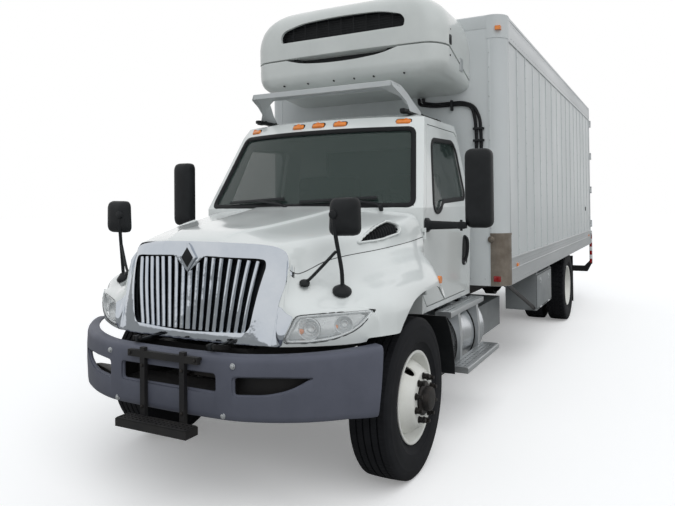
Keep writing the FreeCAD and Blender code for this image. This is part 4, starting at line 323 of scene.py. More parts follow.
def tyre_section(grooves):
    """Half of the outside from the bead to the crown, mirrored, then back inside: (along, radius)."""
    side = [(0.104, BEAD_RADIUS), (0.106, 0.300), (0.113, 0.318), (0.128, 0.352), (0.1325, 0.356),
            (0.137, 0.385), (TYRE_HALF, 0.402), (0.1375, 0.425), (0.1345, 0.452), (0.1355, 0.456),
            (0.1345, 0.460), (0.131, 0.478), (0.1285, 0.492), (0.1265, 0.497), (0.122, 0.506),
            (TREAD_HALF, TYRE_RADIUS - 0.004)]
    crown = []
    for middle, width in grooves[::-1]:
        top = TYRE_RADIUS - 0.004 * (abs(middle) / TREAD_HALF) ** 2
        crown += [(middle + width / 2, top), (middle + width / 3, top - 0.013),
                  (middle - width / 3, top - 0.013), (middle - width / 2, top)]
    outside = side + crown + [(-x, r) for x, r in side[::-1]]
    inside = [(-0.082, BEAD_RADIUS - 0.004), (-0.090, 0.32), (-0.113, 0.402), (-0.098, 0.482)]
    return outside + inside + [(-x, r) for x, r in inside[::-1]] + outside[:1]


def front_tread(along, radius, angle):
    """Fine sipes: the tread's outer 4 mm dips at narrow slots along the rib edges."""
    slot = (np.sin(angle * 90 + along * 60) > 0.86) & (np.abs(along) < TREAD_HALF) & (np.abs(along) > 0.03)
    return radius - np.where(slot & (radius > TYRE_RADIUS - 0.006), 0.004, 0)


def rear_tread(along, radius, angle):
    """Lugs: slanted slots 14 mm deep cut across the shoulders, and shallower ones across the middle."""
    phase = np.sin(angle * 44 + np.abs(along) * 55)
    shoulder = (np.abs(along) > 0.062) & (radius > 0.498)
    middle = (np.abs(along) < 0.062) & (radius > TYRE_RADIUS - 0.006)
    deep = np.where(shoulder & (phase > 0.62), np.clip(radius - 0.502, 0.004, 0.014), 0)
    return radius - deep - np.where(middle & (phase < -0.75), 0.009, 0)


front_grooves = [(-0.069, 0.011), (-0.024, 0.012), (0.024, 0.012), (0.069, 0.011)]
rear_grooves = [(-0.060, 0.009), (-0.020, 0.008), (0.020, 0.008), (0.060, 0.009)]
front_tyre = turned(tyre_section(front_grooves), 540, (FRONT_TYRE_X, 0, AXLE_HEIGHT), wave=front_tread)
rear_tyres = [turned(tyre_section(rear_grooves), 440, (x, WHEELBASE, AXLE_HEIGHT), wave=rear_tread)
              for x in (REAR_OUTER_X, REAR_INNER_X)]
pair("tyre_front", tyre_rubber, [front_tyre], ["front_tyre_SIDE"], "front_wheel_SIDE")
pair("tyres_rear", tyre_rubber, rear_tyres, ["rear_tyres_SIDE"], "rear_wheels_SIDE")


# Disc wheels: rolled steel rims with pressed discs, powder coated white, that stand out to the hub face on
# the front axle and are dished on the outer rear. Ten black nuts hold each on long studs round a dark hub.
HUB_FACE, STUD_CIRCLE, HUB_RADIUS, REAR_FACE = 0.168, 0.1429, 0.108, 0.895
HAND_HOLE_RADIUS, HAND_HOLE_AT, HOLE_TURN = 0.030, 0.214, math.radians(27)
RIM = [(0.106, 0.286), (0.062, 0.276), (0.035, 0.252)]
FLANGE = [(0.106, 0.2975), (0.110, 0.2995), (0.116, 0.2995), (0.119, 0.296), (0.119, 0.289), (0.115, 0.2805),
          (0.064, 0.268), (0.036, 0.243)]
DISC = [(0.012, 0.247), (0.030, 0.247), (0.052, 0.240), (0.082, 0.228), (0.112, 0.211), (0.138, 0.194),
        (0.156, 0.181), (0.165, 0.172), (HUB_FACE, 0.162), (HUB_FACE, HUB_RADIUS + 0.002),
        (HUB_FACE - 0.011, HUB_RADIUS + 0.002), (HUB_FACE - 0.011, 0.164), (0.146, 0.180), (0.104, 0.206),
        (0.070, 0.223), (0.030, 0.236), (0.012, 0.236), (0.012, 0.247)]


def with_holes(part, cutters, operation="DIFFERENCE"):
    """The part with the cutters taken out of it, by Blender's manifold boolean."""
    objects = []
    for points, quads, caps in [part, *cutters]:
        mesh = bpy.data.meshes.new("work")
        mesh.from_pydata(points.tolist(), [], quads.tolist() + [c.tolist() for c in caps])
        welded(mesh, 1e-5)
        objects.append(bpy.data.objects.new("work", mesh))
        scene.collection.objects.link(objects[-1])
    for cutter in objects[1:]:
        step = objects[0].modifiers.new("cut", "BOOLEAN")
        step.operation, step.solver, step.object = operation, "MANIFOLD", cutter
    done = worked(objects[0])
    points = np.empty(len(done.vertices) * 3)
    done.vertices.foreach_get("co", points)
    caps = [np.array(p.vertices[:]) for p in done.polygons]
    for made in objects:
        bpy.data.objects.remove(made)
    return points.reshape(-1, 3), np.zeros((0, 4), int), caps


def rod(start, end, radius, sides=10, eased=0.0):
    """A round rod from start to end, its edges eased by that much."""
    start, end = np.array(start, float), np.array(end, float)
    length = np.linalg.norm(end - start)
    way = (end - start) / length
    aside = np.cross(way, (0, 0, 1) if abs(way[2]) < 0.9 else (1, 0, 0))
    aside /= np.linalg.norm(aside)
    _, across, rise = circle_of(sides)
    levels = [(0, radius), (length, radius)]
    if eased:
        levels = [(0, radius - eased), (eased * 0.3, radius - eased * 0.3), (eased, radius),
                  (length - eased, radius), (length - eased * 0.3, radius - eased * 0.3),
                  (length, radius - eased)]
    spread = across[:, None] * aside + rise[:, None] * np.cross(way, aside)
    return skin(np.array([start + way * at + r * spread for at, r in levels]), around=True, capped=True)


def copies(part, places):
    """The part once at each of the places."""
    points, quads, caps = part
    places = np.asarray(places, float).reshape(-1, 3)
    shift = (np.arange(len(places)) * len(points))[:, None, None]
    moved = (points[None] + places[:, None]).reshape(-1, 3)
    return moved, (quads[None] + shift).reshape(-1, 4), [c + s for s in shift.ravel() for c in caps]


def placed(part, x, y, turn=0.0):
    """The part turned about the axle line and moved out to its wheel."""
    spun = part[0] @ np.array(Matrix.Rotation(turn, 3, "X")).T
    return spun + np.array((x, y, AXLE_HEIGHT)), part[1], part[2]


def disc(side):
    """A pressed disc that swells outwards from the drop well to the hub face, with two hand holes."""
    holes = [rod((side * 0.04, 0, at), (side * 0.22, 0, at), HAND_HOLE_RADIUS, 32)
             for at in (HAND_HOLE_AT, -HAND_HOLE_AT)]
    return with_holes(turned([(x * side, r) for x, r in DISC], 96), holes)


def nut_ring(face, length):
    """Ten flange nuts on studs: a thin washer, a six-sided nut and the stud's round end."""
    parts = []
    for k in range(10):
        angle = math.radians(36 * k + 18)
        y, z = STUD_CIRCLE * math.cos(angle), STUD_CIRCLE * math.sin(angle)
        for low, high, radius, sides, eased in ((-0.001, 0.006, 0.0225, 16, 0.002),
                                                (0.005, length * 0.62, 0.0185, 6, 0.0015),
                                                (length * 0.6, length, 0.0125, 10, 0.002)):
            parts.append(rod((face + low, y, z), (face + high, y, z), radius, sides, eased))
    return parts


front_disc, rear_disc = disc(1), disc(-1)
rim_line = RIM + [(-x, r) for x, r in RIM[::-1]] + [(-x, r) for x, r in FLANGE] + FLANGE[::-1] + RIM[:1]
rim_ring = turned(rim_line, 96)
front_steel = [placed(p, FRONT_TYRE_X, 0, HOLE_TURN) for p in (rim_ring, front_disc)]
front_hub = turned([(-0.02, 0.0), (-0.02, 0.164), (HUB_FACE - 0.012, 0.164), (HUB_FACE - 0.012, HUB_RADIUS)] +
                   [(HUB_FACE + x, r) for x, r in (
                       (0.010, HUB_RADIUS), (0.016, 0.100), (0.020, 0.088), (0.022, 0.080), (0.052, 0.076),
                       (0.060, 0.070), (0.063, 0.058), (0.064, 0.030), (0.0645, 0.0))], 48)
front_dark = [placed(p, FRONT_TYRE_X, 0) for p in (front_hub, *nut_ring(HUB_FACE, 0.046))]
rear_steel = [placed(rim_ring, REAR_OUTER_X, WHEELBASE), placed(rim_ring, REAR_INNER_X, WHEELBASE),
              placed(rear_disc, REAR_OUTER_X, WHEELBASE, HOLE_TURN),
              placed(front_disc, REAR_INNER_X, WHEELBASE, HOLE_TURN)]
rear_hub = turned([(REAR_FACE + x, r) for x, r in (
    (-0.03, 0.0), (-0.03, HUB_RADIUS), (0.022, HUB_RADIUS), (0.032, 0.098), (0.036, 0.096), (0.118, 0.089),
    (0.120, 0.104), (0.134, 0.104), (0.142, 0.090), (0.150, 0.060), (0.152, 0.0))], 48)
rear_dark = [placed(p, 0, WHEELBASE) for p in (rear_hub, *nut_ring(REAR_FACE, 0.046))]
pair("wheel_front", wheel_white, front_steel, ["front_rim_SIDE"], "front_wheel_SIDE")
pair("hub_front", forged_steel, front_dark, ["front_rim_SIDE"], "front_wheel_SIDE")
pair("wheels_rear", wheel_white, rear_steel, ["rear_rims_SIDE"], "rear_wheels_SIDE")
pair("hub_rear", forged_steel, rear_dark, ["rear_rims_SIDE"], "rear_wheels_SIDE")


# Hood: one white painted moulding of sheet compound with both fenders, a raised centre panel and wheel
# arches. Its skin is a net of cross sections from the windscreen to the bumper. Each one gives, in
# millimetres for one half, how far its points lie from the middle, along the truck and above the ground.
HOOD_WALL, NET_STEPS = 0.012, 9
HOOD_NET = [
    [[0, 380, 400, 880, 950, 996, 1004, 1010, 1060, 1130, 1186, 1198],
     [290, 312, 316, 412, 430, 446, 446, 444, 430, 385, 362, 362],
     [1778, 1772, 1760, 1722, 1690, 1545, 1460, 1390, 1335, 1265, 1150, 1035]],
    [[0, 360, 384, 850, 925, 975, 1035, 1095, 1150, 1190, 1200, 1202],
     [150, 160, 163, 235, 240, 240, 240, 240, 235, 225, 215, 210],
     [1752, 1747, 1733, 1690, 1655, 1522, 1462, 1405, 1340, 1255, 1120, 1010]],
    [[0, 330, 356, 790, 855, 905, 975, 1055, 1135, 1195, 1204, 1204],
     [-120, -118, -118, -105, -100, -100, -100, -100, -100, -100, -100, -100],
     [1712, 1708, 1692, 1640, 1600, 1492, 1440, 1395, 1340, 1270, 1150, 1040]],
    [[0, 285, 310, 655, 702, 738, 800, 880, 985, 1090, 1168, 1182],
     [-480, -478, -478, -490, -495, -500, -500, -500, -500, -500, -490, -470],
     [1665, 1662, 1646, 1590, 1550, 1448, 1388, 1342, 1308, 1268, 1185, 1030]],
    [[0, 240, 268, 560, 612, 655, 715, 790, 890, 1000, 1090, 1120],
     [-740, -735, -735, -690, -695, -715, -712, -695, -672, -640, -588, -565],
     [1634, 1632, 1616, 1565, 1522, 1382, 1312, 1252, 1226, 1212, 1160, 1025]],
    [[0, 205, 228, 535, 596, 632, 668, 745, 850, 965, 1082, 1108],
     [-862, -856, -858, -752, -728, -775, -800, -808, -765, -700, -618, -585],
     [1598, 1596, 1588, 1556, 1512, 1400, 1262, 1196, 1190, 1191, 1172, 1025]],
    [[0, 200, 225, 515, 584, 627, 645, 730, 850, 962, 1078, 1100],
     [-909, -902, -899, -800, -752, -790, -845, -846, -782, -718, -630, -598],
     [1570, 1568, 1567, 1545, 1505, 1425, 1215, 1160, 1160, 1164, 1150, 1025]],
    [[0, 200, 225, 518, 590, 622, 640, 728, 850, 958, 1062, 1086],
     [-925, -918, -916, -822, -775, -812, -872, -858, -795, -728, -650, -618],
     [1545, 1543, 1542, 1518, 1470, 1340, 1130, 1120, 1120, 1124, 1112, 1025]],
    [[0, 200, 225, 480, 568, 600, 622, 728, 848, 952, 1042, 1066],
     [-945, -941, -939, -900, -862, -858, -905, -868, -803, -738, -668, -640],
     [1300, 1300, 1300, 1288, 1255, 1215, 1060, 1060, 1062, 1065, 1060, 1022]],
    [[0, 200, 225, 480, 548, 585, 640, 735, 848, 948, 1028, 1052],
     [-970, -967, -965, -938, -922, -914, -897, -853, -790, -728, -664, -640],
     [986, 986, 986, 986, 986, 984, 984, 985, 988, 992, 998, 1002]],
]


def spline(knots, steps):
    """A smooth run through knots along the first side of an array: each span is a cubic whose end slopes are
    the chord over both neighbours, so close knots turn tightly and never overshoot."""
    knots = np.asarray(knots, float)
    span = np.linalg.norm(np.diff(knots, axis=0), axis=-1, keepdims=True)
    ends = np.concatenate([knots[:1] * 2 - knots[1:2], knots, knots[-1:] * 2 - knots[-2:-1]])
    spans = np.concatenate([span[:1], span, span[-1:]])
    slope = (ends[2:] - ends[:-2]) / (spans[1:] + spans[:-1])
    t = np.linspace(0, 1, steps, endpoint=False).reshape((1, steps) + (1,) * (knots.ndim - 1))
    leave, reach = slope[:-1, None] * span[:, None], slope[1:, None] * span[:, None]
    run = ((1 + 2 * t) * (1 - t) ** 2 * knots[:-1, None] + t * (1 - t) ** 2 * leave
           + t ** 2 * (3 - 2 * t) * knots[1:, None] - t ** 2 * (1 - t) * reach)
    return np.concatenate([run.reshape((-1,) + knots.shape[1:]), knots[-1:]])


def outward(sheet):
    """Unit normals of a grid of points, from its row and column directions, softened over neighbours."""
    normal = np.cross(np.gradient(sheet, axis=0), np.gradient(sheet, axis=1))
    normal /= np.linalg.norm(normal, axis=-1, keepdims=True) + 1e-12
    for side in (0, 1):
        last = normal.shape[side] - 1
        low = np.take(normal, np.maximum(np.arange(last + 1) - 1, 0), side)
        normal = normal + low + np.take(normal, np.minimum(np.arange(last + 1) + 1, last), side)
    return normal / np.linalg.norm(normal, axis=-1, keepdims=True)


def shell(sheet, normal, top, bottom):
    """A closed shell between the sheet lifted to top and to bottom along its normals."""
    ring = np.concatenate([sheet + normal * top, (sheet + normal * bottom)[:, ::-1]], axis=1)
    points, quads, _ = skin(ring, around=True)
    j, width = np.arange(sheet.shape[1] - 1), 2 * sheet.shape[1]
    end = np.stack([j, j + 1, width - 2 - j, width - 1 - j], -1)
    return points, np.concatenate([quads, end, end + (len(sheet) - 1) * width]), []


def rounded(corners, reach, steps=7):
    """A closed outline whose corners turn along parabolas that start a reach before each corner."""
    corners = np.asarray(corners, float)
    reach = np.broadcast_to(np.asarray(reach, float), (len(corners),))[:, None]
    before, after = np.roll(corners, 1, 0) - corners, np.roll(corners, -1, 0) - corners
    low = np.linalg.norm(before, axis=1, keepdims=True)
    high = np.linalg.norm(after, axis=1, keepdims=True)
    reach = np.minimum(reach, 0.48 * np.minimum(low, high))
    start, end = corners + before / low * reach, corners + after / high * reach
    t = np.linspace(0, 1, steps)[None, :, None]
    arcs = (1 - t) ** 2 * start[:, None] + 2 * t * (1 - t) * corners[:, None] + t ** 2 * end[:, None]
    return arcs.reshape(-1, 2)


def oblong(x0, y0, x1, y1, reach, steps=7):
    """A rectangle between two corners, its own corners turned with that reach."""
    return rounded([(x0, y0), (x1, y0), (x1, y1), (x0, y1)], reach, steps)


def in_plane(flat, plane, height):
    """Outline points set into a plane (XY, XZ or YZ) at a height along the axis that it leaves out."""
    parts = [flat[:, 0], flat[:, 1], np.zeros(len(flat)) + height]
    return np.stack([parts[k] for k in {"XY": (0, 1, 2), "XZ": (0, 2, 1), "YZ": (2, 0, 1)}[plane]], -1)


def slab(outline, plane, low, high, ease=0.0):
    """A plate between two heights, its rims eased by an inset of that size."""
    outline = np.asarray(outline, float)
    outline = outline[np.linalg.norm(outline - np.roll(outline, 1, 0), axis=1) > 1e-6]
    edge = np.roll(outline, -1, 0) - outline
    edge /= np.linalg.norm(edge, axis=1, keepdims=True)
    away = np.stack([edge[:, 1], -edge[:, 0]], -1)
    corner = away + np.roll(away, 1, 0)
    corner /= np.maximum((corner ** 2).sum(1, keepdims=True) / 2, 0.3)
    x, y = outline.T
    turn = np.sign((x * np.roll(y, -1) - np.roll(x, -1) * y).sum())
    levels = [(low, ease), (low + ease * 0.3, ease * 0.3), (low + ease, 0), (high - ease, 0),
              (high - ease * 0.3, ease * 0.3), (high, ease)] if ease else [(low, 0), (high, 0)]
    rows = np.array([in_plane(outline - corner * turn * inset, plane, at) for at, inset in levels])
    return skin(rows, around=True, capped=True)


def carved(part, keep):
    """What the part and the closed form keep share, by Blender's manifold boolean."""
    return with_holes(part, [keep], "INTERSECT")


half_net = np.array(HOOD_NET, float).transpose(0, 2, 1) / 1000
whole_net = np.concatenate([(half_net * (-1, 1, 1))[:, :0:-1], half_net], axis=1)
hood_sheet = spline(spline(whole_net.transpose(1, 0, 2), NET_STEPS).transpose(1, 0, 2), NET_STEPS)
MIDDLE = hood_sheet.shape[1] // 2
hood_normal = outward(hood_sheet)
hood_normal *= np.sign(hood_normal[NET_STEPS, MIDDLE, 2])


def patch(row_from, row_to, column_from, column_to, top, bottom):
    """A closed piece of the hood's skin between net rows and columns, lifted between two depths."""
    rows = slice(round(row_from * NET_STEPS), round(row_to * NET_STEPS) + 1)
    columns = slice(MIDDLE + round(column_from * NET_STEPS), MIDDLE + round(column_to * NET_STEPS) + 1)
    return shell(hood_sheet[rows, columns], hood_normal[rows, columns], top, bottom)


ARCH = [(-1.25, 0.80), (0.52, 0.80), (0.52, 0.98), (0.400, 1.03), (0.372, 1.10), (0.300, 1.185),
        (0.190, 1.230), (0.05, 1.240), (-0.10, 1.228), (-0.24, 1.192), (-0.35, 1.135), (-0.420, 1.070),
        (-0.455, 1.026), (-0.53, 1.006), (-0.66, 0.99), (-1.25, 0.975)]
LAMP = [(0.646, 1.002), (0.780, 1.004), (0.910, 1.022), (1.030, 1.080), (1.093, 1.182), (1.060, 1.184),
        (0.870, 1.172), (0.706, 1.158)]
VENT = [(-0.270, 1.538), (-0.090, 1.546), (0.150, 1.585), (0.168, 1.640), (0.120, 1.668), (-0.070, 1.630),
        (-0.200, 1.580)]
lamp_line = rounded(LAMP, [0.03, 0.05, 0.06, 0.07, 0.016, 0.05, 0.06, 0.03])
vent_line = rounded(VENT, [0.02, 0.08, 0.06, 0.03, 0.03, 0.08, 0.06])
vent_cut = slab(vent_line, "YZ", 0.70, 1.10)
side_cuts = [slab(rounded(ARCH, 0.05), "YZ", 0.62, 1.32), slab(lamp_line, "XZ", -1.30, -0.57), vent_cut]
hood_part = with_holes(patch(0, 9, -11, 11, 0.0, -HOOD_WALL), [
    patch(6, 9, -5.0, 5.0, 0.05, -0.05), *[p for c in side_cuts for p in both([c])]])
piece("hood_moulding", cab_white, [hood_part], ["hood"], "hood_assembly", sharp=38)


# Inside the nose: a black moulded baffle, screwed in behind the grille, and the two black pivot arms that
# bolt to it. They are seen from below and with the hood up.
nose_rib = with_holes(slab(oblong(-0.54, 1.00, 0.54, 1.40, 0.03), "XZ", -0.800, -0.790),
                      [slab(oblong(-0.46, 1.05, 0.46, 1.36, 0.05), "XZ", -0.82, -0.77)])
arm = slab(rounded([(-1.091, 0.970), (-0.788, 0.970), (-0.788, 1.045), (-0.812, 1.045), (-0.828, 0.984),
                    (-1.05, 0.984), (-1.058, 1.006), (-1.091, 1.006)], 0.008), "YZ", 0.270, 0.292, 0.002)
piece("hood_baffle", black_plastic, [nose_rib, *both([arm])], ["hood"], "hood_assembly")


# Grille: a chrome plated surround, wide and rounded at the top with a notch, seventeen rounded upright bars
# in front of a black screen, and chrome wings beside the headlamps. Plated mouldings clipped to the hood.
OPENING = [(-0.424, 1.052), (0, 1.037), (0.424, 1.052), (0.450, 1.085), (0.514, 1.43), (0.505, 1.468),
           (0.460, 1.476), (0.115, 1.487), (0.0, 1.385), (-0.115, 1.487), (-0.460, 1.476), (-0.505, 1.468),
           (-0.514, 1.43), (-0.450, 1.085)]
WING = [(0.575, 0.984), (0.640, 0.984), (0.652, 1.02), (0.698, 1.150), (0.640, 1.175), (0.612, 1.205),
        (0.585, 1.20)]
TOP_PITCH, LOW_PITCH = 0.0572, 0.0488
surround = with_holes(patch(6, 9, -5.0, 5.0, 0.004, -0.030),
                      [slab(rounded(OPENING, 0.025), "XZ", -1.25, -0.72)])
wing = carved(patch(4.2, 9, 4.2, 8, 0.0030, -0.010), slab(rounded(WING, 0.02), "XZ", -1.25, -0.72))
piece("grille_surround", chrome, [surround, *both([wing])], ["grille"], "hood_assembly", bevel=0.007)


def front_profile(x):
    """The nose's outline (y, z) in the upright plane at x, from its top row down."""
    rows = hood_sheet[6 * NET_STEPS:, MIDDLE:]
    return np.array([[np.interp(x, row[:, 0], row[:, k]) for k in (1, 2)] for row in rows])


def carry(path, section, up=(0, 0, 1), closed=False):
    """A section of (side, up) points carried along a path, kept level against the up direction."""
    path, section = np.asarray(path, float), np.asarray(section, float)
    way = np.roll(path, -1, 0) - np.roll(path, 1, 0) if closed else np.gradient(path, axis=0)
    way /= np.linalg.norm(way, axis=1, keepdims=True)
    aside = np.cross(way, np.broadcast_to(np.asarray(up, float), path.shape))
    aside /= np.linalg.norm(aside, axis=1, keepdims=True)
    rise = np.cross(aside, way)
    rows = path[:, None] + section[None, :, :1] * aside[:, None] + section[None, :, 1:] * rise[:, None]
    if closed:
        return skin(np.concatenate([rows, rows[:1]]), around=True)
    return skin(rows, around=True, capped=True)


def bar_section(width, depth):
    """A bar's outline: a rounded front on straight flanks."""
    angle = np.linspace(0, np.pi, 9)
    front = np.stack([np.cos(angle) * width / 2, np.sin(angle) * width * 0.55], -1)
    return np.concatenate([front, [(-width / 2, -depth), (width / 2, -depth)]])


bars = []
for k in range(-8, 9):
    level = np.linspace(1.478 - 0.0003 * k ** 2 if k else 1.42, 1.045, 22)
    x = k * (LOW_PITCH + (TOP_PITCH - LOW_PITCH) * (level - 1.04) / 0.42)
    profile = front_profile(abs(x).mean())
    y = np.interp(level, profile[::-1, 1], profile[::-1, 0])
    run = np.stack([x, y + 0.022, level], -1)
    bars.append(carry(run, bar_section(0.028 if k else 0.036, 0.030), up=(0, -1, 0)))
reach = round(4.6 * NET_STEPS)
behind = hood_sheet[round(6.5 * NET_STEPS):, MIDDLE - reach:MIDDLE + reach + 1]
screen = shell(behind, np.broadcast_to((0.0, 1.0, 0.0), behind.shape), 0.056, 0.060)
badge_line = rounded([(-0.066, 1.477), (0, 1.388), (0.066, 1.477), (0, 1.566)], 0.006)
core_line = rounded([(-0.046, 1.477), (0, 1.415), (0.046, 1.477), (0, 1.539)], 0.004)
for name, look, parts in (
        ("grille_bars", chrome, bars), ("grille_screen", black_plastic, [screen]),
        ("grille_badge", chrome, [slab(badge_line, "XZ", -0.949, -0.925, 0.004)]),
        ("grille_badge_centre", black_plastic, [slab(core_line, "XZ", -0.9505, -0.93, 0.001)])):
    piece(name, look, parts, ["grille"], "hood_assembly")


# Headlamps: a clear moulded lens that follows the fender, over a metallised reflector with a large inner bowl
# and a smaller outer one, each with its bulb, in a black housing.
LAMP_CENTRE = np.array((0.870, 1.095))
BOWLS = [((0.772, -0.808, 1.080), 0.062, (0.25, -1, 0.02)), ((0.942, -0.705, 1.103), 0.052, (0.45, -1, 0.02))]
BOWL_DEPTH, BULB_OUT, BULB_ASIDE = 0.045, 0.006, (-0.046, -0.012, -0.016)
_, across, rise = circle_of(8)
round_section = np.stack([across, rise], -1)


def lamp_layer(top, bottom):
    """The fender's skin inside the lamp's outline, between two depths."""
    return carved(patch(4.2, 9, 5.2, 11, top, bottom), slab(lamp_line, "XZ", -1.3, -0.54))


def turned_to(part, start, end, at):
    """The part turned so that the direction start points to end, and moved to its place."""
    turn = np.array(Vector(start).rotation_difference(Vector(end)).to_matrix())
    return part[0] @ turn.T + np.array(at), part[1], part[2]


def bowl(centre, radius, facing):
    """A polished bowl: a parabola turned about its facing, 2 mm thick, with a rolled rim."""
    r = np.linspace(0.0, radius, 14)
    face = np.stack([BOWL_DEPTH * (r / radius) ** 2 - BOWL_DEPTH, r], -1)
    rim = [(0.003, radius + 0.002), (0.001, radius + 0.004)]
    section = np.concatenate([face, rim, face[::-1] + (-0.002, 0.0015)])
    return turned_to(turned(section, 40, axis="Y"), (0, 1, 0), facing, centre)


def nearest(points, known, free):
    """Fills one free coordinate of points from the known ones by weighing the skin's nearest points."""
    held = [k for k in range(3) if k != free]
    distance = ((points[:, None, held] - known[None, :, held]) ** 2).sum(-1)
    weight = 1 / (distance + 2e-5) ** 3
    points[:, free] = (weight * known[None, :, free]).sum(1) / weight.sum(1)
    return points


bowls, bulbs, bowl_cuts = [], [], []
for centre, radius, facing in BOWLS:
    ahead = np.array(facing) / np.linalg.norm(facing)
    bowls.append(bowl(centre, radius, facing))
    bowl_cuts.append(rod(centre - ahead * 0.10, centre + ahead * 0.10, radius + 0.001, 40))
    bulb_at = centre + ahead * BULB_OUT + BULB_ASIDE
    bulbs.append(rod(bulb_at - ahead * 0.020, bulb_at, radius * 0.25, 16, radius * 0.1))
    around, across, rise = circle_of(40)
    for share, width in ((1.0, 0.0045), (0.62, 0.0025), (0.36, 0.0035)):
        flat_ring = (np.stack([across, 0 * around, rise], -1) * radius * share, None, None)
        ring_at = centre + ahead * (0.004 - BOWL_DEPTH * (1 - share ** 2))
        circle = turned_to(flat_ring, (0, -1, 0), ahead, ring_at)[0]
        bowls.append(carry(circle, round_section * width, up=tuple(ahead), closed=True))
lamp_inner = rounded(np.array(LAMP) * 0.965 + LAMP_CENTRE * 0.035, 0.03)
lamp_wall = with_holes(lamp_layer(-0.034, -0.101), [slab(lamp_inner, "XZ", -1.4, -0.5)])
bezel = with_holes(lamp_layer(-0.034, -0.038), bowl_cuts)
fender = hood_sheet[4 * NET_STEPS:, MIDDLE + 5 * NET_STEPS:].reshape(-1, 3)
rims = []
for line, sunk, width in ((lamp_line, 0.003, 0.0035),
                          (LAMP_CENTRE + (lamp_line - LAMP_CENTRE) * (0.94, 0.90), 0.014, 0.0085)):
    rim_path = nearest(in_plane(line, "XZ", 0.0), fender, 1) + (0, sunk, 0)
    rims.append(carry(rim_path, round_section * width, up=(0, -1, 0), closed=True))
pair("headlamp_lens", clear_lens, [lamp_layer(0.0015, -0.0025)], ["headlamps"])
pair("headlamp_reflector", lamp_silver, [bezel, rims[1], *bowls], ["headlamps"])
pair("headlamp_housing", black_plastic, [lamp_layer(-0.100, -0.105), lamp_wall, rims[0]], ["headlamps"])
pair("headlamp_bulbs", amber_lens, bulbs, ["headlamps"])


# Side vents: leaf-shaped openings in the hood's flanks. A raised rim, moulded and painted with the hood,
# runs round black moulded louvres that clip in from behind.
vent_flank = hood_sheet[:4 * NET_STEPS, MIDDLE + 2 * NET_STEPS:MIDDLE + 7 * NET_STEPS].reshape(-1, 3)
vent_rim = nearest(in_plane(vent_line, "YZ", 0.9), vent_flank[::2], 0)
vent_frame = carry(vent_rim + (0.003, 0, 0.003), round_section * (0.009, 0.013), up=(1, 0, 0.2), closed=True)
louvres = [carved(patch(0, 4, 3, 7, -0.026, -0.030), vent_cut)]
for y in np.arange(-0.235, 0.15, 0.026):
    blade = slab([(y, 1.52), (y + 0.004, 1.52), (y + 0.055, 1.68), (y + 0.051, 1.68)], "YZ", 0.70, 1.10)
    louvres.append(carved(carved(patch(0, 4, 3, 7, -0.006, -0.028), blade), vent_cut))
pair("vent_rim", cab_white, [vent_frame], ["hood_vents"])
pair("vent_louvres", black_plastic, [b for b in louvres if len(b[0])], ["hood_vents"])


# Bumper: a thick grey polypropylene moulding with a rounded top edge that rises towards its wrapped ends, an
# oblong mouth and a teardrop opening on each side with soft lips. Bright bolts hold it to brackets.
BUMPER_HIGH, BUMPER_RISE = 0.955, 0.030
plan_half = np.array([(0, -1.140), (0.250, -1.133), (0.467, -1.115), (0.650, -1.058), (0.790, -0.990),
                      (0.890, -0.925), (1.000, -0.830), (1.085, -0.732), (1.130, -0.665), (1.152, -0.622)])
plan = spline(np.concatenate([(plan_half * (-1, 1))[:0:-1], plan_half]), 12)
way = np.gradient(plan, axis=0)
way /= np.linalg.norm(way, axis=1, keepdims=True)
ahead = np.stack([way[:, 1], -way[:, 0]], -1)
top = (BUMPER_HIGH + BUMPER_RISE * (np.abs(plan[:, 0]) / 1.15) ** 3)[:, None]
# Its section, once round: (inset, 1 where the height counts from the top edge, height).
bumper_face = np.array([(0.032, 0, 0.602), (0.012, 0, 0.604), (0.003, 0, 0.616), (0, 0, 0.640),
                        (-0.005, 0, 0.76), (-0.005, 0, 0.86), (-0.001, 1, -0.035), (0.004, 1, -0.016),
                        (0.013, 1, -0.004), (0.028, 1, 0.0), (0.075, 1, 0.002), (0.075, 1, -0.008),
                        (0.030, 1, -0.010), (0.019, 1, -0.020), (0.013, 1, -0.036), (0.008, 0, 0.86),
                        (0.008, 0, 0.76), (0.012, 0, 0.650), (0.015, 0, 0.618), (0.032, 0, 0.612)])
rise = np.where(bumper_face[:, 1] > 0, top + bumper_face[:, 2], bumper_face[:, 2])
inset = ahead[:, None] * bumper_face[None, :, :1]
ring = np.concatenate([plan[:, None] - inset, rise[..., None]], -1)
ring[..., 1:2] -= np.clip((ring[..., 1:2] + 0.80) / 0.18, 0, 1) * (0.985 - ring[..., 2:]) * 0.20
mouth = oblong(-0.36, 0.745, 0.36, 0.862, 0.03)
tear = rounded([(0.460, 0.738), (0.640, 0.742), (0.770, 0.772), (0.888, 0.850), (0.700, 0.858),
                (0.460, 0.852)], [0.03, 0.08, 0.08, 0.030, 0.08, 0.03])
bumper = with_holes(skin(ring, around=True, capped=True),
                    [slab(mouth, "XZ", -1.3, -0.95), *both([slab(tear, "XZ", -1.3, -0.80)])])
lips = []
for line in (mouth, tear, (tear * (-1, 1))[::-1]):
    lip_y = np.interp(np.abs(line[:, 0]), plan_half[:, 0], plan_half[:, 1])
    lip_path = np.stack([line[:, 0], lip_y + 0.012, line[:, 1]], -1)
    lips.append(carry(lip_path, round_section * 0.011, up=(0, -1, 0), closed=True))
piece("bumper_moulding", bumper_plastic, [bumper, *lips], ["front_bumper"], bevel=0.006, sharp=40)
bolts = []
for x, y, z in ((0.467, -1.118, 0.907), (0.401, -1.121, 0.628)):
    bolts += [rod((x, y, z), (x, y - 0.003, z), 0.01755, 14, 0.001),
              rod((x, y, z), (x, y - 0.011, z), 0.013, 6, 0.0015)]
piece("bumper_bolts", mill_aluminium, both(bolts), ["front_bumper"])
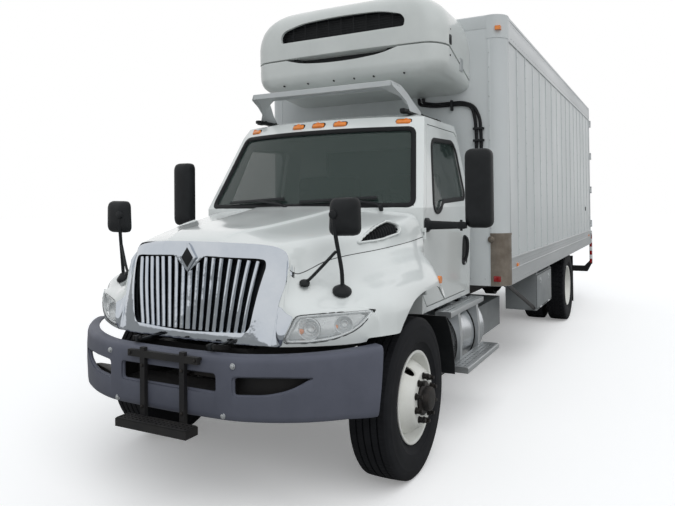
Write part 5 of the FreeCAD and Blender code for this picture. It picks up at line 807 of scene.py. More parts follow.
BEAM = [(-0.85, -0.90), (-0.45, -1.06), (0.45, -1.06), (0.85, -0.90), (0.83, -0.87), (-0.83, -0.87)]
BRACKET = rounded([(-1.10, 0.64), (-0.93, 0.72), (-0.93, 0.93), (-1.10, 0.93)], 0.02)
brackets = [slab(BRACKET, "YZ", x, x + 0.012, 0.002) for x in (-0.437, 0.425)]
# A thin black sheet stands behind the left side opening only. It is painted shade: a dark sheet put where the
# shade under the truck falls.
shade_sheet_line = plan[(plan[:, 0] > 0.43) & (plan[:, 0] < 0.96)] + (0, 0.085)
shade_sheet_rows = np.stack([np.insert(shade_sheet_line, 2, z, axis=1) for z in np.linspace(0.700, 0.885, 5)])
shade_sheet = shell(shade_sheet_rows, outward(shade_sheet_rows), 0.0015, -0.0015)
beam = slab(rounded(BEAM, 0.01), "XY", 0.665, 0.735, 0.004)
piece("bumper_brackets", chassis_black, [beam, *brackets, shade_sheet], ["front_bumper"])


# Windscreen trim: an extruded black rubber gasket, pressed in all round the bonded glass, and two wipers
# parked along its foot. Their arms and blades are black, and turn on pivots that come through the cowl.
SCREEN_UP = (0, -0.87, 0.49)


def screen_y(x, z):
    """How far back the windscreen's outer face lies: each level is an arc that bows forward."""
    up = (z - 1.760) / 0.650
    half, corner, bow = 1.0 - 0.12 * up, 0.462 + 0.366 * up, 0.175 + 0.010 * up
    return corner - bow * (1 - (x / half) ** 2)


def finer(line, steps):
    """A closed outline with its spans cut into equal steps."""
    share = np.linspace(0, 1, steps, endpoint=False)[:, None]
    return (line[:, None] * (1 - share) + np.roll(line, -1, 0)[:, None] * share).reshape(-1, 2)


x, z = finer(rounded([(-0.926, 1.779), (0.926, 1.779), (0.806, 2.391), (-0.806, 2.391)], 0.055, 10), 12).T
gasket_run = np.stack([x, screen_y(x, z), z], -1)
gasket = carry(gasket_run, round_section * (0.021, 0.008), up=SCREEN_UP, closed=True)
wipers = []
for start, end, pivot in ((-0.70, -0.12, -0.08), (0.04, 0.66, 0.70)):
    x = np.linspace(start, end, 26)
    z = 1.812 + 0.028 * (x - start) / (end - start)
    run = np.stack([x, screen_y(x, z) - 0.020, z], -1)
    rubber = rounded([(-0.004, -0.010), (0.004, -0.010), (0.002, 0.008), (-0.002, 0.008)], 0.001, 2)
    middle = np.array([(start + end) / 2, screen_y((start + end) / 2, 1.826) - 0.030, 1.826])
    root = np.array([pivot, screen_y(pivot, 1.775) - 0.020, 1.772])
    bend = np.array([pivot + (middle[0] - pivot) * 0.12, root[1] - 0.018, 1.796])
    wipers += [carry(run, oblong(-0.012, -0.004, 0.012, 0.004, 0.003, 3), up=SCREEN_UP),
               carry(run + (0, 0.010, -0.004), rubber, up=SCREEN_UP),
               carry(spline(np.array([root, bend, middle]), 8), round_section * (0.009, 0.006), up=SCREEN_UP),
               rod(root + (0, 0.02, -0.03), root + (0, -0.012, 0.012), 0.017, 16, 0.004)]
piece("windscreen_gasket", black_rubber, [gasket])
piece("windscreen_wipers", black_plastic, wipers)


# Doors: black rubber channels pressed into the window openings, and a moulded plastic pull handle in a tall
# oval escutcheon, screwed to the door skin. A turned metal key lock sits low in it.
WINDOW = [(0.690, 1.762), (0.750, 1.722), (0.840, 1.732), (0.930, 1.807), (1.520, 1.832), (1.560, 1.882),
          (1.550, 2.260), (1.490, 2.330), (0.980, 2.310), (0.910, 2.260)]


def cab_side(z):
    """How far out the cab's flank lies at a height."""
    return np.where(z < 1.760, 0.982 + 0.018 * (z - 0.98) / 0.78, 1.0 - 0.12 * (z - 1.760) / 0.650)


def domed(outline, plane, levels):
    """A form whose outline is drawn in towards its middle by an inset at each height."""
    outline = np.asarray(outline, float)
    low, high = outline.min(0), outline.max(0)
    middle, half = (low + high) / 2, (high - low) / 2
    rows = [in_plane(middle + (outline - middle) * (1 - inset / half), plane, at) for at, inset in levels]
    return skin(np.array(rows), around=True, capped=True)


y, z = finer(rounded(WINDOW, [0.05, 0.05, 0.05, 0.05, 0.03, 0.04, 0.04, 0.06, 0.06, 0.06]), 5).T
channel_run = np.stack([cab_side(z) + 0.001, y, z], -1)
channel = carry(channel_run, round_section * (0.019, 0.0055), up=(1, 0, 0.18), closed=True)
escutcheon = domed(rounded([(1.43, 1.25), (1.57, 1.25), (1.59, 1.50), (1.45, 1.52)], 0.06), "YZ",
                   [(0.985, 0), (0.9955, 0), (0.9985, 0.003), (0.9985, 0.010), (0.9945, 0.016)])
pull = spline(np.array([(0.992, 1.475, 1.30), (1.012, 1.485, 1.315), (1.022, 1.505, 1.40),
                        (1.012, 1.520, 1.475), (0.992, 1.525, 1.490)]), 8)
pull = carry(pull, round_section * (0.010, 0.014), up=(1, 0, 0))
pair("window_channel", black_rubber, [channel], body="SIDE_door")
pair("door_handle", black_plastic, [escutcheon, pull], body="SIDE_door")
pair("door_lock", mill_aluminium, [rod((0.985, 1.515, 1.265), (1.001, 1.515, 1.265), 0.013, 20, 0.003)],
     body="SIDE_door")


# Door mirrors: upright moulded plastic shells, domed ahead and open behind round a flat glass and a convex
# one below it. A tapering arm bolted to the door carries each on a swivel.
housing = domed(oblong(1.280, 1.610, 1.480, 2.185, 0.062, 12), "XZ",
                [(0.5205, 0.080), (0.5225, 0.055), (0.528, 0.034), (0.538, 0.016), (0.552, 0.006),
                 (0.570, 0.001), (0.600, 0.0), (0.617, 0.001), (0.6195, 0.005), (0.6195, 0.010),
                 (0.610, 0.012)])
main_glass = slab(oblong(1.297, 1.815, 1.463, 2.165, 0.045), "XZ", 0.606, 0.6135, 0.001)
wide_glass = domed(oblong(1.297, 1.630, 1.463, 1.790, 0.045), "XZ",
                   [(0.606, 0), (0.6125, 0), (0.6145, 0.02), (0.6155, 0.05)])
arm = domed(oblong(0.498, 1.598, 0.562, 1.662, 0.022), "YZ", [
    (0.998, -0.022), (1.008, -0.020), (1.016, -0.010), (1.030, -0.001), (1.16, 0.004), (1.262, 0.008),
    (1.285, 0.008), (1.300, 0.010)])
swivel = [rod((1.262, 0.530, 1.604), (1.262, 0.530, 1.656), 0.027, 24, 0.005),
          rod((1.262, 0.530, 1.590), (1.262, 0.530, 1.670), 0.010, 12, 0.003)]
pair("mirror_housing", black_plastic, [housing, arm, *swivel], ["mirror_SIDE"], "SIDE_door", sharp=30)
pair("mirror_glass", mirror_silver, [main_glass, wide_glass], ["mirror_SIDE"], "SIDE_door")


# Hood mirrors: convex look-down mirrors in rounded shells of moulded black plastic. Each stands on a post
# bolted to the fender through a flat dome, with a raking stay from a pad ahead of it.
mirror_line = rounded([(0.812, 1.602), (1.012, 1.606), (1.008, 1.832), (0.822, 1.828)], 0.048, 10)
mirror_shell = domed(mirror_line, "XZ", [
    (-0.678, 0.075), (-0.676, 0.055), (-0.671, 0.034), (-0.662, 0.016), (-0.650, 0.006), (-0.632, 0.0),
    (-0.606, 0.001), (-0.602, 0.006), (-0.608, 0.010)])
glass = domed(mirror_line, "XZ", [(-0.611, 0.012), (-0.604, 0.016), (-0.597, 0.040), (-0.594, 0.070)])
FOOT, STAY_FOOT = np.array((0.884, -0.612, 1.284)), np.array((0.705, -0.742, 1.337))
POST_TOP, FENDER_WAY = np.array((0.862, -0.672, 1.730)), (0.28, -0.30, 1.0)
dome = turned([(-0.018, 0.0), (-0.018, 0.056), (-0.004, 0.058), (0.006, 0.054), (0.020, 0.036),
               (0.029, 0.021), (0.034, 0.017), (0.036, 0.0)], 40, axis="Z")
pad = turned([(-0.014, 0.0), (-0.014, 0.030), (0.0, 0.031), (0.008, 0.026), (0.014, 0.014), (0.016, 0.0)],
             28, axis="Z")
post = spline(np.array([FOOT + (0.004, -0.004, 0.012), FOOT + (0.004, -0.014, 0.12), (0.868, -0.664, 1.62),
                        POST_TOP]), 10)
stay = spline(np.array([STAY_FOOT, STAY_FOOT + (0.03, 0.012, 0.02), (0.867, -0.651, 1.515)]), 8)
pair("hood_mirror", black_plastic, [
    mirror_shell, turned_to(dome, (0, 0, 1), FENDER_WAY, FOOT),
    carry(post, round_section * 0.0125, up=(0.3, -1, 0)),
    rod(POST_TOP + (0, -0.016, 0), POST_TOP + (0, 0.03, 0), 0.027, 24, 0.008),
    carry(stay, round_section * 0.0095), turned_to(pad, (0, 0, 1), FENDER_WAY, STAY_FOOT + (0, 0, -0.002)),
], ["hood_mirrors"])
pair("hood_mirror_glass", mirror_silver, [glass], ["hood_mirrors"])


# Crease lines: a thin black rod lies along the crease where each fender meets the hood's raised middle, sunk a
# little into it, and draws the crease as a dark line.
crease = (slice(5 * NET_STEPS + 4), MIDDLE + 5 * NET_STEPS)
crease_rod = carry(hood_sheet[crease] - hood_normal[crease] * 0.0012, round_section * 0.0030, up=(0.8, 0, 0.6))
pair("hood_seam", black_rubber, [crease_rod])


# Seats: a driver's seat and a two-place bench, each a stuffed cushion and back in grey woven cloth with
# piping round the edge and sewn channels, on moulded pedestals bolted to the cab floor.
def stuffed(low, high, channels, face, pinch=0.03):
    """A stuffed pad between two corners: a superellipsoid whose sides pull in between its corners, with
    channels pressed into the side that faces that axis direction. Also gives the run of its piping."""
    low, high = np.array(low, float), np.array(high, float)
    half, thin = (high - low) / 2, abs(face) - 1
    wide, tall = [k for k in range(3) if k != thin]
    turn = circle_of(112)[0][None, :]
    rise = np.linspace(-np.pi / 2, np.pi / 2, 45)[1:-1, None]

    def powered(value, power):
        """The value's size to a power, with its sign kept."""
        return np.sign(value) * np.abs(value) ** power

    draw = (1 - pinch * np.cos(2 * turn) ** 2) * powered(np.cos(rise), 0.34)
    rows = np.zeros((rise.size, turn.size, 3))
    rows[..., wide] = half[wide] * powered(np.cos(turn), 0.26) * draw
    rows[..., tall] = half[tall] * powered(np.sin(turn), 0.26) * draw
    rows[..., thin] = half[thin] * powered(np.sin(rise), 0.72) + 0 * turn
    seen = np.sign(face) * rows[..., thin] > half[thin] * 0.35
    for at, axis in channels:
        along = rows[..., {"wide": wide, "tall": tall}[axis]]
        rows[..., thin] -= np.sign(face) * seen * 0.010 * np.exp(-((along - at) / 0.009) ** 2)
    rows += (low + high) / 2
    edge = rows[np.abs(rise[:, 0] - 0.5).argmin()]
    return skin(rows, around=True, capped=True), edge + (edge - (low + high) / 2) * 0.004


pedestals = []
for side, x0, x1, splits in (("driver", 0.250, 0.760, (-0.085, 0.085)),
                             ("passenger", -0.760, -0.060, (-0.2, 0.0, 0.2))):
    cuts = [(x, "wide") for x in splits]
    cushion = stuffed((x0 + 0.004, 1.053, 1.342), (x1 - 0.004, 1.528, 1.478), cuts, 3)
    backrest = stuffed((x0 + 0.004, 1.530, 1.430), (x1 - 0.004, 1.648, 2.078), [*cuts, (0.17, "tall")], -2)
    for name, (pad, edge) in (("seat_cushion_" + side, cushion), ("seat_back_" + side, backrest)):
        piece(name, seat_cloth, [pad], ["seats"], sharp=70)
        piping = carry(edge, round_section * 0.0045, up=(0.3, 0.5, 0.8), closed=True)
        piece(name + "_piping", black_rubber, [piping])
    pedestals.append(domed(oblong(x0 + 0.06, 1.11, x1 - 0.06, 1.47, 0.04), "XY",
                           [(1.024, -0.010), (1.034, -0.010), (1.040, 0.0), (1.20, 0.020), (1.318, 0.006),
                            (1.330, -0.02), (1.339, -0.02)]))
piece("seat_pedestals", black_plastic, pedestals, ["seats"])


# Dashboard: a grained black moulding that follows the windscreen, with an instrument hood, round air
# outlets and a radio panel. A column on its left carries a three-spoke wheel rimmed in soft plastic.
DASH = [(0.300, 1.705), (0.300, 1.370), (0.790, 1.432), (0.838, 1.480), (0.842, 1.640), (0.800, 1.705),
        (0.740, 1.728)]
BINNACLE = [(0.60, 1.70), (0.62, 1.748), (0.78, 1.742), (0.885, 1.70), (0.85, 1.66)]
x = np.linspace(-0.858, 0.858, 41)
dash_plan = np.concatenate([np.stack([x, screen_y(x, 1.74) + 0.045], -1), [(0.858, 0.95), (-0.858, 0.95)]])
panel = slab(rounded(DASH, [0.02, 0.02, 0.05, 0.03, 0.05, 0.06, 0.05]), "YZ", -0.862, 0.862)
dash = [carved(panel, slab(dash_plan, "XY", 1.30, 1.80)),
        slab(rounded(BINNACLE, 0.02), "YZ", 0.30, 0.70, 0.008)]
dash += [rod((at, 0.850, 1.655), (at, 0.862, 1.652), 0.042, 28, 0.004) for at in (0.42, 0.58)]
dash += [rod((at, 0.832, 1.585), (at, 0.856, 1.583), 0.036, 24, 0.006) for at in (-0.72, -0.30, 0.10, 0.78)]
dash.append(slab(oblong(-0.19, 1.50, 0.01, 1.64, 0.01), "XZ", 0.835, 0.852, 0.003))
piece("dashboard_moulding", black_plastic, dash, ["dashboard"], sharp=40)
WHEEL_CENTRE, WHEEL_RADIUS = np.array((0.500, 0.982, 1.700)), 0.225
wheel_axis = np.array((0, math.sin(math.radians(55)), math.cos(math.radians(55))))
wheel_up = np.cross(wheel_axis, (1, 0, 0))
angle = circle_of(72)[0][:, None]
rim_run = WHEEL_CENTRE + WHEEL_RADIUS * (np.cos(angle) * (1, 0, 0) + np.sin(angle) * wheel_up)
wheel = [carry(rim_run, round_section * 0.0145, up=wheel_axis, closed=True),
         rod(WHEEL_CENTRE - wheel_axis * 0.050, WHEEL_CENTRE + wheel_axis * 0.004, 0.062, 28, 0.014),
         rod((0.5, 0.712, 1.510), WHEEL_CENTRE - wheel_axis * 0.045, 0.032, 24, 0.004)]
for at in (0.15, math.pi - 0.15, -math.pi / 2):
    way = math.cos(at) * np.array((1, 0, 0)) + math.sin(at) * wheel_up
    run = [WHEEL_CENTRE + way * r - wheel_axis * sink
           for r, sink in ((0.05, 0.022), (0.13, 0.016), (0.218, 0.0))]
    wheel.append(carry(spline(np.array(run), 5), round_section * (0.017, 0.006), up=wheel_axis))
piece("steering_wheel", black_plastic, wheel, ["dashboard"])


# Refrigeration unit: a white gelcoat shroud arched over its top and rounded into its sides, over a separate
# lower cowl. An arched air opening is cut through the shroud, and the cowl droops to leave a crescent slot.
BOX_FACE = 1.861
SHROUD_ROWS = [
    (0.955, 1.052, 0.19, 3.152, 3.143, 2.943), (0.955, 1.051, 0.19, 3.200, 3.196, 3.05),
    (0.954, 1.053, 0.19, 3.330, 3.310, 3.22), (0.928, 1.066, 0.20, 3.455, 3.410, 3.36),
    (0.880, 1.098, 0.22, 3.535, 3.490, 3.47), (0.805, 1.158, 0.23, 3.592, 3.555, 3.55),
    (0.700, 1.250, 0.23, 3.628, 3.603, 3.605), (0.540, 1.390, 0.20, 3.643, 3.634, 3.637),
    (0.340, 1.590, 0.14, 3.648, 3.646, 3.648)]
COWL_ROWS = [
    (0.951, 1.053, 0.19, 3.138, 3.129, 2.931), (0.951, 1.053, 0.19, 3.045, 3.045, 2.905),
    (0.944, 1.057, 0.19, 2.975, 2.982, 2.882), (0.925, 1.078, 0.20, 2.918, 2.932, 2.858),
    (0.890, 1.125, 0.22, 2.880, 2.893, 2.838), (0.838, 1.200, 0.22, 2.860, 2.868, 2.824),
    (0.760, 1.310, 0.20, 2.851, 2.855, 2.816)]
AIR = [(-0.615, 3.304), (0, 3.297), (0.615, 3.304), (0.628, 3.360), (0.592, 3.415), (0.40, 3.466), (0, 3.482),
       (-0.40, 3.466), (-0.592, 3.415), (-0.628, 3.360)]
SLOT = [(-0.585, 3.165), (0.585, 3.165), (0.570, 3.140), (0.40, 3.092), (0.15, 3.070), (-0.15, 3.070),
        (-0.40, 3.092), (-0.570, 3.140)]
WELL = [(-0.53, 3.20), (0.53, 3.20), (0.40, 3.104), (0.15, 3.080), (-0.15, 3.080), (-0.40, 3.104)]
BOW, BOW_REACH = 0.026, 0.765


def housing(rows, steps=5):
    """A housing against the box. Each row (half width, front, corner radius, height in front, at the corner
    and at the box) is a plan with a bowed front and two round corners; all rows join into a closed form."""
    half, front, radius, front_z, side_z, rear_z = spline(np.array(rows, float), steps).T[:, :, None]
    run = np.linspace(0, 1, 17)[None, :]
    turn = np.linspace(0, np.pi / 2, 10)[None, 1:]
    down = np.linspace(0, 1, 9)[None, 1:]
    flat = half - radius
    bowed = front + BOW * (flat / BOW_REACH) ** 2
    x = np.concatenate([flat * run, flat + radius * np.sin(turn), half + 0 * down], axis=1)
    y = np.concatenate([front + BOW * (flat * run / BOW_REACH) ** 2, bowed + radius * (1 - np.cos(turn)),
                        bowed + radius + (BOX_FACE - bowed - radius) * down], axis=1)
    z = np.concatenate([front_z + 0 * run, front_z + (side_z - front_z) * np.sin(turn) ** 2,
                        side_z + (rear_z - side_z) * down], axis=1)
    side = np.stack([x, y, z], -1)
    return skin(np.concatenate([(side * (-1, 1, 1))[:, :0:-1], side], axis=1), around=True, capped=True)


air_line = rounded(AIR, [0.02, 0.3, 0.02, 0.05, 0.10, 0.2, 0.2, 0.2, 0.10, 0.05])
air_middle = np.array((0, 3.385))
inner_line = air_middle + (air_line - air_middle) * (0.985, 0.93)
slot_line = rounded(SLOT, [0.01, 0.01, 0.03, 0.15, 0.12, 0.12, 0.15, 0.03])
shroud = with_holes(housing(SHROUD_ROWS), [slab(air_line, "XZ", 0.95, 1.155)])
cowl = with_holes(housing(COWL_ROWS), [slab(slot_line, "XZ", 0.95, 1.160)])
piece("unit_housing", unit_white, [shroud], ["unit_shroud"], sharp=40, bevel=0.006)
piece("unit_lower_cowl", unit_white, [cowl], ["unit_cowl"], sharp=40, bevel=0.004)

# Behind both openings lie a black wire guard and the condenser's dark fins; black screws and a sunk latch
# hold the panels, and the side carries a bare pale plate.
well = with_holes(slab(air_line, "XZ", 1.100, 1.152), [slab(inner_line, "XZ", 1.05, 1.140)])
duct = with_holes(slab(slot_line * (0.985, 1) + (0, -0.002), "XZ", 1.105, 1.158),
                  [slab(rounded(WELL, 0.05), "XZ", 1.05, 1.148)])
bars = [rod((-0.62, 1.108, z), (0.62, 1.108, z), 0.003, 8) for z in np.arange(3.316, 3.475, 0.022)]
bars += [rod((x, 1.102, 3.30), (x, 1.102, 3.48), 0.004, 8) for x in np.linspace(-0.5, 0.5, 9)]
bars = [carved(bar, slab(air_line, "XZ", 1.0, 1.2)) for bar in bars]
piece("unit_air_guard", black_plastic, [well, duct, *bars], ["unit_grilles"])
screws = [rod((x, 1.075, 2.905), (x, 1.098, 2.905), 0.007, 12, 0.002)
          for x in (-0.60, -0.34, -0.07, 0.135, 0.325, 0.61)]
screws += both([rod((0.948, y, z), (0.958, y, z), 0.007, 12, 0.002)
                for y, z in ((1.300, 3.285), (1.290, 3.060))])
latch = [slab(oblong(1.262, 3.150, 1.322, 3.237, 0.018), "YZ", 0.945, 0.9595, 0.003),
         slab(oblong(1.273, 3.163, 1.311, 3.215, 0.010), "YZ", 0.950, 0.9625, 0.003)]
side_tag = slab(oblong(1.560, 2.975, 1.650, 3.095, 0.008), "YZ", 0.950, 0.9565, 0.001)
piece("unit_screws", chassis_black, screws)
piece("unit_latches", black_plastic, both(latch))
piece("unit_side_plate", mill_aluminium, [side_tag])


# Hose clips: black nylon saddles hold the pair of refrigerant hoses against the box front. Each is moulded
# in one piece and screwed to the sheet.
saddle = oblong(-0.075, -0.004, 0.030, 0.030, 0.012) + np.array((1.062, BOX_FACE - 0.034))
clips = [slab(saddle, "XY", z, z + 0.022, 0.003) for z in (2.36, 2.47)]
clips.append(slab(oblong(2.665, 1.824, 2.765, 1.861, 0.012)[:, ::-1], "YZ", 0.775, 0.797, 0.003))
piece("hose_clips", black_plastic, clips)


# Roof guard: a folded grey sheet beam over the windscreen turns branches away from the unit. Slanted side
# plates with four slots carry it back to black rails on the cab roof. Its powder coat is a pale, even and
# dull grey.
guard_grey = finish("aluminium", "pale_grey_powder_coated_sheet", "#c3c7c8", "#b5b9ba", 0.3, 0.45, 0.08,
                    grain=0.004, depth=0.00006)
GUARD_BEAM = [(0.672, 2.726), (0.672, 2.766), (0.676, 2.769), (0.805, 2.752), (0.812, 2.746), (0.812, 2.722),
              (0.808, 2.722), (0.807, 2.744), (0.803, 2.748), (0.677, 2.765), (0.676, 2.726)]
SIDE_PLATE = [(0.674, 2.768), (0.674, 2.722), (0.790, 2.676), (0.885, 2.622), (0.891, 2.545), (1.150, 2.545),
              (1.150, 2.572), (1.060, 2.632), (0.965, 2.716), (0.870, 2.762)]
GUARD_SLOT = [(0.715, 2.735), (0.727, 2.735), (0.737, 2.757), (0.725, 2.757)]
GUSSET = [[(0.500, 0.806, 2.747), (0.662, 0.690, 2.762)], [(0.655, 0.872, 2.668), (0.693, 0.845, 2.668)],
          [(0.698, 0.893, 2.600), (0.714, 0.889, 2.600)]]
RAIL = [(0.682, 2.532), (0.728, 2.532), (0.728, 2.556), (0.720, 2.560), (0.690, 2.560), (0.682, 2.556)]
slot = rounded(GUARD_SLOT, 0.004, 3)
side_plate = with_holes(slab(rounded(SIDE_PLATE, 0.010, 4), "YZ", -0.002, 0.002),
                        [slab(slot + (0.034 * k, 0), "YZ", -0.05, 0.05) for k in range(4)])
side_plate[0][:, 0] += 0.660 + 0.072 * np.clip(2.766 - side_plate[0][:, 2], 0, 0.206) / 0.206
gusset_sheet = spline(spline(np.array(GUSSET), 5).transpose(1, 0, 2), 5)
gusset = shell(gusset_sheet, outward(gusset_sheet), 0.002, -0.002)
rails = [slab(RAIL, "XZ", 0.80, 1.70, 0.003)]
rails += [slab(oblong(0.668, y, 0.742, y + 0.07, 0.01), "XY", 2.527, 2.537, 0.002)
          for y in (0.84, 1.22, 1.60)]
rails += [rod((0.705, y, 2.55), (0.705, y, 2.568), 0.009, 6, 0.002) for y in (0.93, 1.10, 1.26, 1.63)]
piece("roof_guard_sheets", guard_grey, [slab(GUARD_BEAM, "YZ", -0.660, 0.660), *both([side_plate, gusset])],
      ["roof_guard"], sharp=30)
piece("roof_guard_rails", black_plastic, both(rails), ["roof_guard"], sharp=30)


# Header lamps: five oval amber clearance lamps lie on the roof's front edge. Each is a moulded acrylic lens,
# screwed down over a thin black rubber gasket.
oval = oblong(-0.058, -0.022, 0.058, 0.022, 0.05, 9)
DOME = [(-0.024, 0.020), (-0.021, 0.012), (-0.013, 0.004), (-0.002, 0.0), (0.012, 0.0)]
lens_dome = domed(oval, "XZ", DOME)
base = domed(oval * (1.07, 1.15), "XZ", [(-0.005, 0.002), (-0.003, 0.0), (0.014, 0.0)])
for name, look, (points, *rest), sharp in (("lenses", amber_lens, lens_dome, 50),
                                           ("gaskets", black_rubber, base, 35)):
    row = []
    for x in (-0.715, -0.20, 0.0, 0.20, 0.715):
        leaned = points + np.outer(points @ (0.478 * x, 0, 0.45), (0, 1, 0))
        row.append((leaned + (x, 0.861 - 0.185 * (1 - (x / 0.86) ** 2), 2.450), *rest))
    piece("header_lamp_" + name, look, row, sharp=sharp)


# Insulated box: white pre-painted aluminium sheets behind riveted posts. Half-round mouldings run along the
# bottom and top rails, and button-head rivets hold rails, posts and corner angles.
BOX_SIDE, BOX_START, BOX_END = 1.285, 1.991, 8.476
RIB_START, RIB_PITCH = 2.366, 0.405
ENDS = (BOX_START + 0.004, BOX_END - 0.012)
mouldings = []
for y in ENDS:
    post = oblong(y - 0.012, 1.03, y + 0.012, 3.52, 0.005, 3)
    mouldings.append(slab(post, "YZ", BOX_SIDE - 0.004, BOX_SIDE + 0.004, 0.002))
for z, reach in ((1.167, 0.011), (1.270, 0.015), (3.310, 0.015), (3.505, 0.009)):
    profile = [(BOX_SIDE + out, z + reach * up)
               for out, up in ((-0.004, -1), (0.003, -0.7), (0.005, 0), (0.003, 0.7), (-0.004, 1))]
    mouldings.append(slab(profile, "XZ", BOX_START, BOX_END))
piece("box_mouldings", mill_aluminium, both(mouldings))
angle, cos, sin = circle_of(8)
circle = np.stack([0 * angle, cos, sin], -1)
rivet_rows = [circle * radius + (out, 0, 0)
              for radius, out in ((0.0062, -0.002), (0.0056, 0.0015), (0.0026, 0.003))]
rivet = skin(np.array(rivet_rows), around=True, capped=True)
rail_y = np.arange(BOX_START + 0.04, BOX_END - 0.02, RIB_PITCH / 4)
rise_z = np.arange(1.33, 3.28, 0.135)
spots = [(BOX_SIDE, y, z) for z in (1.060, 1.225, 3.345, 3.475) for y in rail_y]
spots += [(BOX_SIDE, y, z) for y in RIB_START + RIB_PITCH * np.arange(16) + 0.017 for z in rise_z]
spots += [(BOX_SIDE + 0.003, y, z) for y in ENDS for z in rise_z]
pair("box_side_rivets", mill_aluminium, [copies(rivet, spots)], body="chassis", sharp=60)


# Front corners: rounded extruded posts with riveted edge angles, a cast cap at the top and, at the foot, a
# sleeve of bare weathered metal with a small round boss. A bare red plate sits low on the left one. The
# weathered metal is a warm grey, blotched and dull.
CORNER = 0.130
BOSS = [(-0.004, 0), (-0.004, 0.030), (0.012, 0.030), (0.018, 0.024), (0.020, 0.012), (0.026, 0.010),
        (0.028, 0)]
HEADER = [(1.863, 3.405), (1.859, 3.408), (1.857, 3.415), (1.857, 3.520), (1.863, 3.527)]
weathered_metal = finish("aluminium", "bare_weathered_aluminium", "#8d857b", "#6f665c", 0.12, 0.55, 0.12, 0.7,
                         grain=0.005, depth=0.0002)
sweep = np.linspace(0, np.pi / 2, 13)
quarter = np.stack([np.sin(sweep), -np.cos(sweep)], -1)


def corner_sheet(low, high, out, along):
    """A sleeve round the box's front corner: a quarter turn with a tail on each side."""
    bend = np.array((BOX_SIDE - CORNER, BOX_FACE + CORNER)) + (CORNER + out) * quarter
    line = np.concatenate([bend[:1] - (along, 0), bend, bend[-1:] + (0, along)])
    inward = np.concatenate([[(0, 1)], -quarter, [(-1, 0)]]) * (out + 0.001)
    return slab(np.concatenate([line, (line + inward)[::-1]]), "XY", low, high)


points, *rest = turned(BOSS, 24, axis="Y")
boss = (points * (1, -1, 1) + (1.140, 1.856, 1.455), *rest)
front_angle = slab(oblong(1.125, 1.035, 1.150, 3.50, 0.004, 3), "XZ", 1.8575, 1.863, 0.001)
posts = [corner_sheet(3.312, 3.528, 0.006, 0.035), corner_sheet(1.500, 3.312, 0.0025, 0.012), front_angle]
feet = [corner_sheet(1.030, 1.500, 0.005, 0.022), corner_sheet(1.490, 1.512, 0.008, 0.024)]
points, *rest = rivet
spots = [(1.137, 1.8575, z) for z in np.arange(1.56, 3.28, 0.135)]
spots += [(x, 1.861, z) for z in (3.47, 1.09) for x in np.arange(-1.08, 1.09, 0.135)]
piece("box_corner_posts", box_white, [*both(posts), slab(HEADER, "YZ", -1.15, 1.15)], sharp=30)
piece("box_corner_feet", weathered_metal, [*both(feet), boss], sharp=30)
front_rivets = copies((points[:, [1, 0, 2]] * (1, -1, 1), *rest), spots)
foot_tag = slab(oblong(1.160, 1.070, 1.225, 1.120, 0.006), "XZ", 1.8480, 1.860, 0.001)
piece("box_front_rivets", mill_aluminium, [front_rivets], sharp=60)
piece("box_foot_plate", red_lens, [foot_tag])


# Side of the box: small dark marker plates, each a bare rectangle with soft corners. They are moulded in
# black plastic and stuck to the sheet.
marker = slab(oblong(7.785, 1.645, 7.845, 1.712, 0.008), "YZ", 1.281, 1.2885, 0.001)
piece("box_side_markers", black_plastic, both([marker]))


# Fuel tank: a polished aluminium drum with pressed ends, a vented filler cap, two black straps over rubber,
# and black brackets that bolt it to the frame rail. Its polish is bright and a little blurred.
polished_tank = finish("aluminium", "polished_aluminium_tank", "#cdd0d3", "#bcc0c4", 0.16, 0.24, 0.07, 1.0,
                       grain=0.06, depth=0.0008)
TANK_X, TANK_Z, TANK_R, STRAP_R = 0.767, 0.660, 0.305, 0.3105
DRUM = [(0.722, 0.0), (0.726, 0.16), (0.738, 0.262), (0.740, 0.300), (0.732, 0.3085), (0.748, 0.3095),
        (0.754, TANK_R), (1.786, TANK_R), (1.792, 0.3095), (1.808, 0.3085), (1.800, 0.300), (1.802, 0.262),
        (1.814, 0.16), (1.818, 0.0)]
CRADLE = [(0.433, 0.915), (0.433, 0.631), (TANK_X, 0.343), (TANK_X, 0.50), (0.60, 0.52), (0.492, 0.81),
          (0.462, 0.915)]
angle, cos, sin = circle_of(80)
saddle = rod((TANK_X, 0.6, TANK_Z), (TANK_X, 1.9, TANK_Z), 0.3140, 80)
holders = []
for y in (1.010, 1.530):
    circle = np.stack([TANK_X + STRAP_R * cos, y + 0 * angle, TANK_Z + STRAP_R * sin], -1)
    band = [(-0.0030, -0.030), (0.0030, -0.030), (0.0030, 0.030), (-0.0030, 0.030)]
    cradle = slab(rounded(CRADLE, 0.02), "XZ", y - 0.034, y + 0.034, 0.003)
    holders += [carry(circle, band, up=(0, 1, 0), closed=True), with_holes(cradle, [saddle]),
                *(rod((0.434, y, z), (0.455, y, z), 0.014, 6, 0.003) for z in (0.72, 0.86))]
filler = rod((TANK_X + 0.155, 1.27, TANK_Z + 0.235), (TANK_X + 0.185, 1.27, TANK_Z + 0.290), 0.045, 28, 0.008)
drum = turned(DRUM, 80, centre=(TANK_X, 0, TANK_Z), axis="Y")
piece("fuel_tank_drum", polished_tank, [drum], ["fuel_tank"], sharp=40)
piece("fuel_tank_cap", mill_aluminium, [filler])
piece("fuel_tank_straps", chassis_black, holders, ["fuel_tank"])


